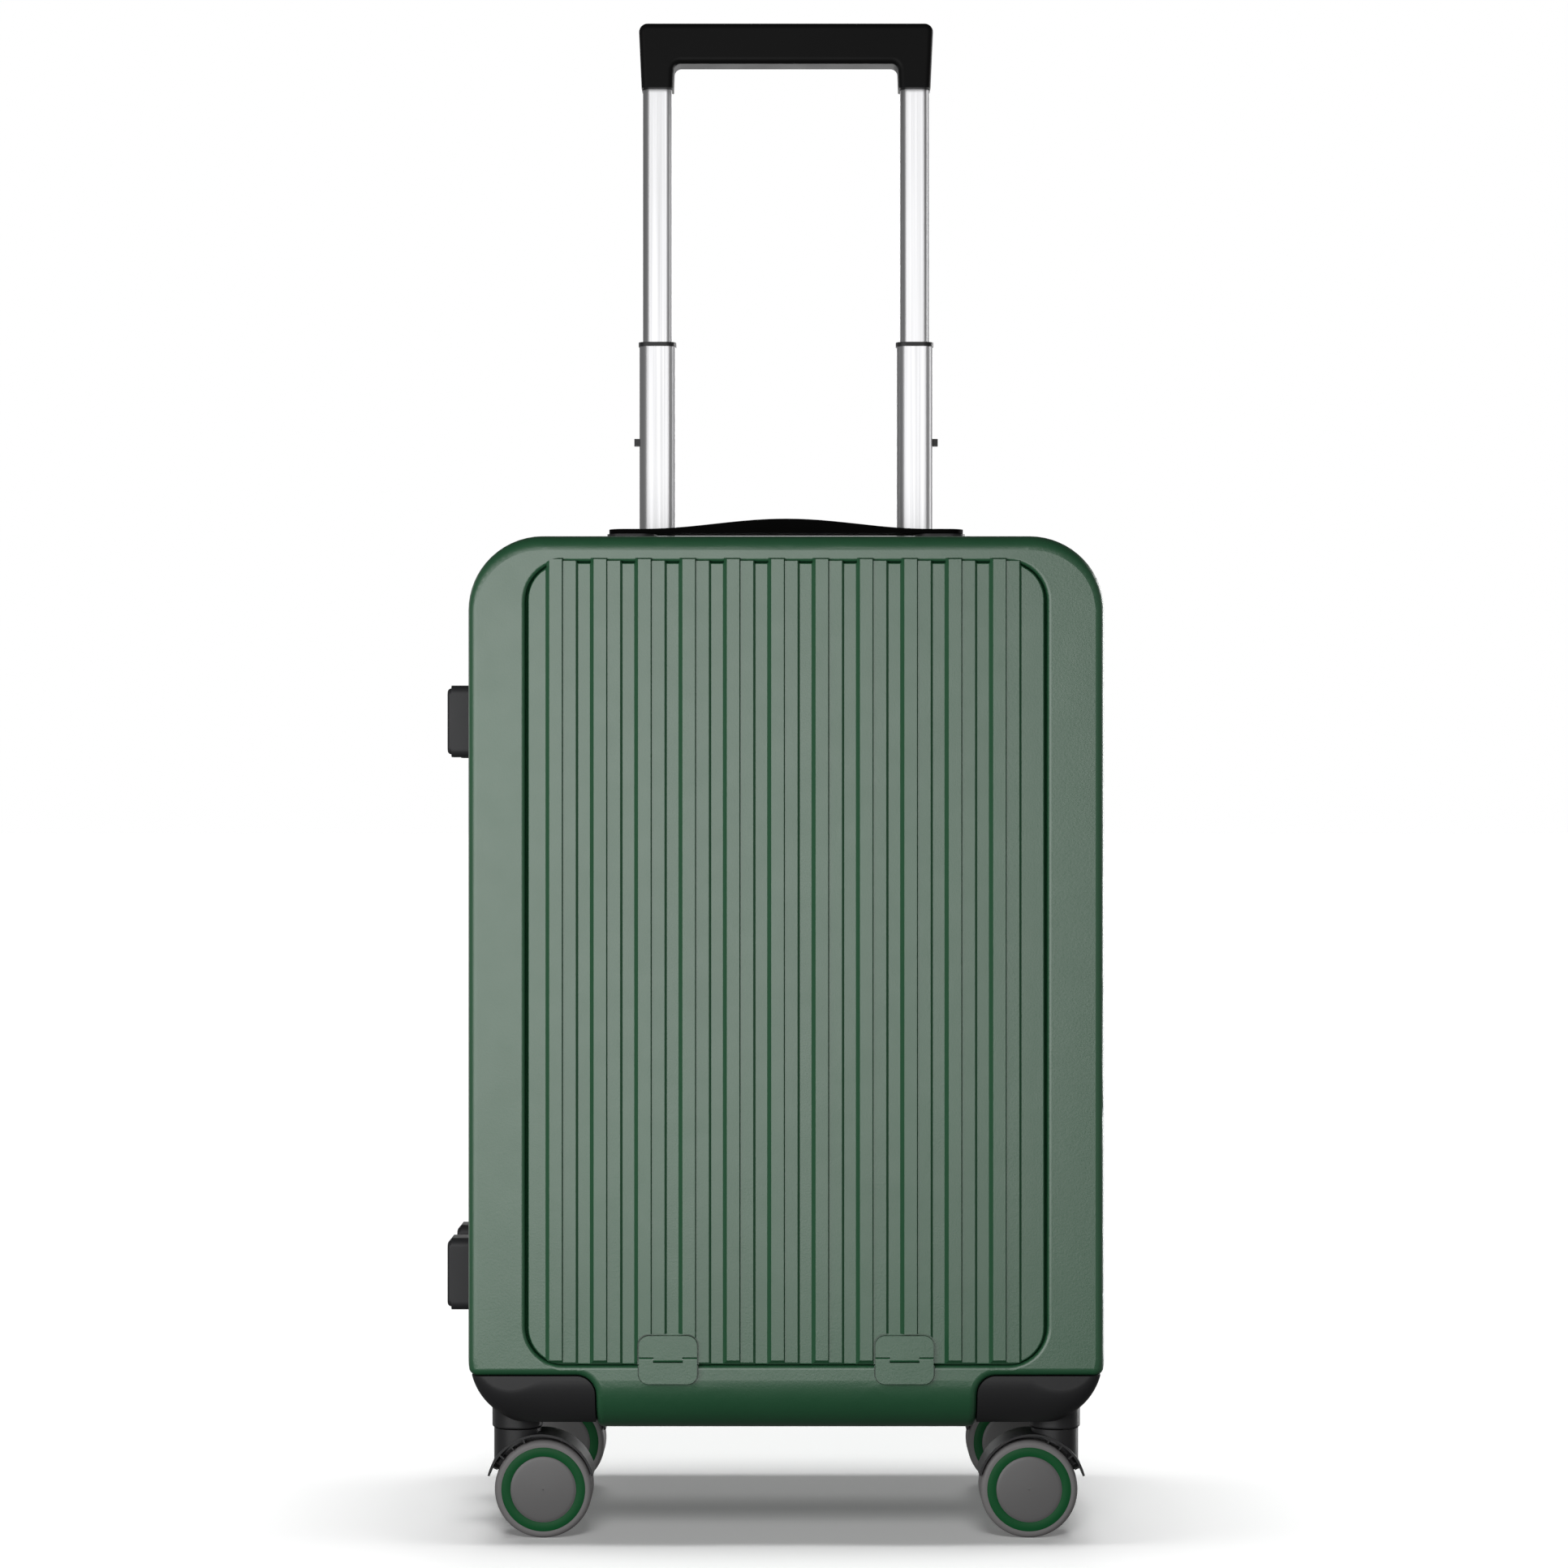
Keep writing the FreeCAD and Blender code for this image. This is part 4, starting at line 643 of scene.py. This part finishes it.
def make_packing_straps():
    """Two elastic straps that cross over the rear compartment, with a buckle where they meet."""
    back = LINING_BACK_REAR
    reach_x, low, high = 128 * MM, 132 * MM, 474 * MM
    steps = 40
    for name, sign in (("packing_strap_left", -1), ("packing_strap_right", 1)):
        over = 1.9 if sign > 0 else 0   # the right strap passes over the left one
        path = []
        for k in range(steps + 1):
            share = k / steps
            swell = math.sin(math.pi * share)
            x = MIDDLE_X + sign * reach_x * (1 - 2 * share)
            y = back - (3.3 + 3.2 * swell + over * swell ** 6) * MM
            path.append(Vector((x, y, low + (high - low) * share)))
        strap = ribbon(name, path, OUT_OF_PLANE, 24 * MM, 1.1 * MM, "rear_half", "webbing")
    make_buckle(Vector((MIDDLE_X, back - 7.1 * MM, (low + high) / 2)))


def make_buckle(centre):
    """Rounded buckle, built up from rings of (share of the outline, height in mm)."""
    half_wide, half_tall, radius = 12 * MM, 15 * MM, 6 * MM
    outline = []
    for x, z, first in ((1, 1, 0), (-1, 1, 90), (-1, -1, 180), (1, -1, 270)):
        outline += corner((x * half_wide, z * half_tall), radius, first, first + 90, 6)
    rings = ((0.86, 0.0), (0.97, 0.5), (1.0, 1.6), (1.0, 4.2),
             (0.95, 5.2), (0.8, 5.7), (0.5, 5.9), (0.0, 5.9))
    points = [(centre.x + x * share, centre.y - height * MM, centre.z + z * share)
              for share, height in rings for x, z in outline]
    faces = tube_faces(len(rings), len(outline))
    faces.append(tuple(range(len(outline))))
    piece("strap_buckle", points, faces, "rear_half", "black_plastic")


def make_hinge_cloth():
    """Cloth that joins the halves inside the left edge, in shallow pleats."""
    low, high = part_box("hinge_gusset")
    reach, pleat, wrinkle = 13.5 * MM, 3.0 * MM, 0.35 * MM
    x = low.x + 0.4 * MM
    rows, columns = 60, 28
    points = []
    for row in range(rows + 1):
        z = low.z + (high.z - low.z) * row / rows
        for column in range(columns + 1):
            share = column / columns
            wave = math.sin(3 * math.pi * share) ** 2 * pleat
            ripple = wrinkle * math.sin(row * 0.9 + 2 * math.sin(row * 0.31)) * math.sin(math.pi * share)
            points.append((x + wave + ripple + wrinkle, -reach + 2 * reach * share, z))
    cloth = piece("hinge_cloth", points, grid_faces(rows, columns), None, "lining", 60)
    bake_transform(cloth)
    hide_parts("hinge_gusset")


def make_sleeve():
    """Flat cloth sleeve with an elastic band, on the wall behind the lid."""
    wall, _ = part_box("compartment_panel")
    front = wall.y
    half, bottom, top = 118 * MM, 112 * MM, 400 * MM
    rows, columns = 48, 44
    points = []
    for row in range(rows + 1):
        up = row / rows
        for column in range(columns + 1):
            side = 2 * column / columns - 1
            swell = (1 - side ** 6) * (1 - (1 - up) ** 8)
            crease = 0.5 * MM * math.sin(up * 19 + 3 * math.sin(side * 2.1)) * swell * (1 - side ** 2)
            points.append((MIDDLE_X + half * side, front - 0.5 * MM - 3.2 * MM * swell - crease,
                           bottom + (top - bottom) * up))
    cloth = piece("laptop_sleeve", points, grid_faces(rows, columns), "front_half", "lining", 60)
    hem = []
    for number in range(-20, 21):
        side = number / 20
        hem.append(Vector((MIDDLE_X + half * side, front - 0.6 * MM - 3.4 * MM * (1 - side ** 6), top)))
    band = ribbon("sleeve_band", hem, OUT_OF_PLANE, 14 * MM, 1.4 * MM, "front_half", "webbing")


# ---------------------------------------------------------------- grip button's spring
def make_leaf_spring():
    """Bowed leaf spring under the link bar."""
    low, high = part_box("button_spring")
    middle, half = (low + high) / 2, (high.x - low.x) / 2
    thick, play, half_steps = 0.5 * MM, 0.05 * MM, 12
    path = []
    for k in range(-half_steps, half_steps + 1):
        share = k / half_steps
        rise = (high.z - low.z - thick - 2 * play) * (1 - share ** 2)
        path.append(Vector((middle.x + half * share, middle.y, low.z + thick / 2 + play + rise)))
    leaf = ribbon("leaf_spring", path, UP, high.y - low.y, thick, "inner_stage", "steel")
    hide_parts("button_spring")
    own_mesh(leaf)


# ---------------------------------------------------------------- lock dials
def number_mesh(dial, number, centre, out, radius):
    """Mesh of one raised number that stands upright on the dial and faces out; the caller removes it."""
    text = bpy.data.curves.new(f"number_{dial}_{number}", "FONT")
    text.body = str(number)
    text.size = 3.6 * MM
    text.align_x, text.align_y = "CENTER", "CENTER"
    text.extrude = 0.06 * MM
    holder = bpy.data.objects.new("number", text)
    bpy.context.scene.collection.objects.link(holder)
    bpy.context.view_layer.update()
    raised = bpy.data.meshes.new_from_object(holder)
    turn = Matrix((UP.cross(out), UP, out)).transposed().to_4x4()
    raised.transform(Matrix.Translation(centre + out * radius) @ turn)
    bpy.data.objects.remove(holder)
    bpy.data.curves.remove(text)
    return raised


def grip_ridge(centre, angle, radius, half_tall):
    """Eight points of a low upright ridge on the dial's rim, its lower end first."""
    out = Vector((math.cos(angle), math.sin(angle), 0))
    across = Vector((-out.y, out.x, 0)) * 0.14 * MM
    points = []
    for z in (-half_tall * 0.8, half_tall * 0.8):
        for lift, wide in ((-0.1, 1.6), (0.14, 0.7), (0.14, -0.7), (-0.1, -1.6)):
            points.append(centre + out * (radius + lift * MM) + across * wide + Vector((0, 0, z)))
    return points


def make_dial_numbers():
    """Ten raised numbers round each dial and fine grip ridges between them."""
    step = 36                           # degrees from one number to the next
    for dial in (1, 2, 3):
        low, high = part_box(f"lock_dial_{dial}")
        centre = (low + high) / 2
        radius, half_tall = (high.x - low.x) / 2, (high.z - low.z) / 2
        points, faces = [], []
        for number in range(10):
            angle = math.radians(step * number + 90)
            out = Vector((math.sin(angle), -math.cos(angle), 0))
            raised = number_mesh(dial, number, centre, out, radius)
            base = len(points)
            points += [vertex.co.copy() for vertex in raised.vertices]
            faces += [tuple(base + k for k in polygon.vertices) for polygon in raised.polygons]
            bpy.data.meshes.remove(raised)
        for ridge in range(10):
            angle = math.radians(step * (ridge + 0.5))
            for shift in (-0.09, 0, 0.09):
                base = len(points)
                points += grip_ridge(centre, angle + shift, radius, half_tall)
                faces += tube_faces(2, 4, base)
                faces += [(base + 3, base + 2, base + 1, base), (base + 4, base + 5, base + 6, base + 7)]
        piece(f"dial_numbers_{dial}", points, faces, f"dial_{dial}", "number_white", 30)


# ---------------------------------------------------------------- the scene
make_camera()
make_world()
make_floor()
lamps = make_lights()
dress_cad_nodes()
make_wheel_faces()
make_zip_coils()
make_lining("rear_lining", 1, "rear_half", LINING_BACK_REAR)
make_lining("front_lining", -1, "front_half", LINING_BACK_FRONT)
make_packing_straps()
make_hinge_cloth()
make_sleeve()
make_leaf_spring()
make_dial_numbers()
share_lights(*lamps)
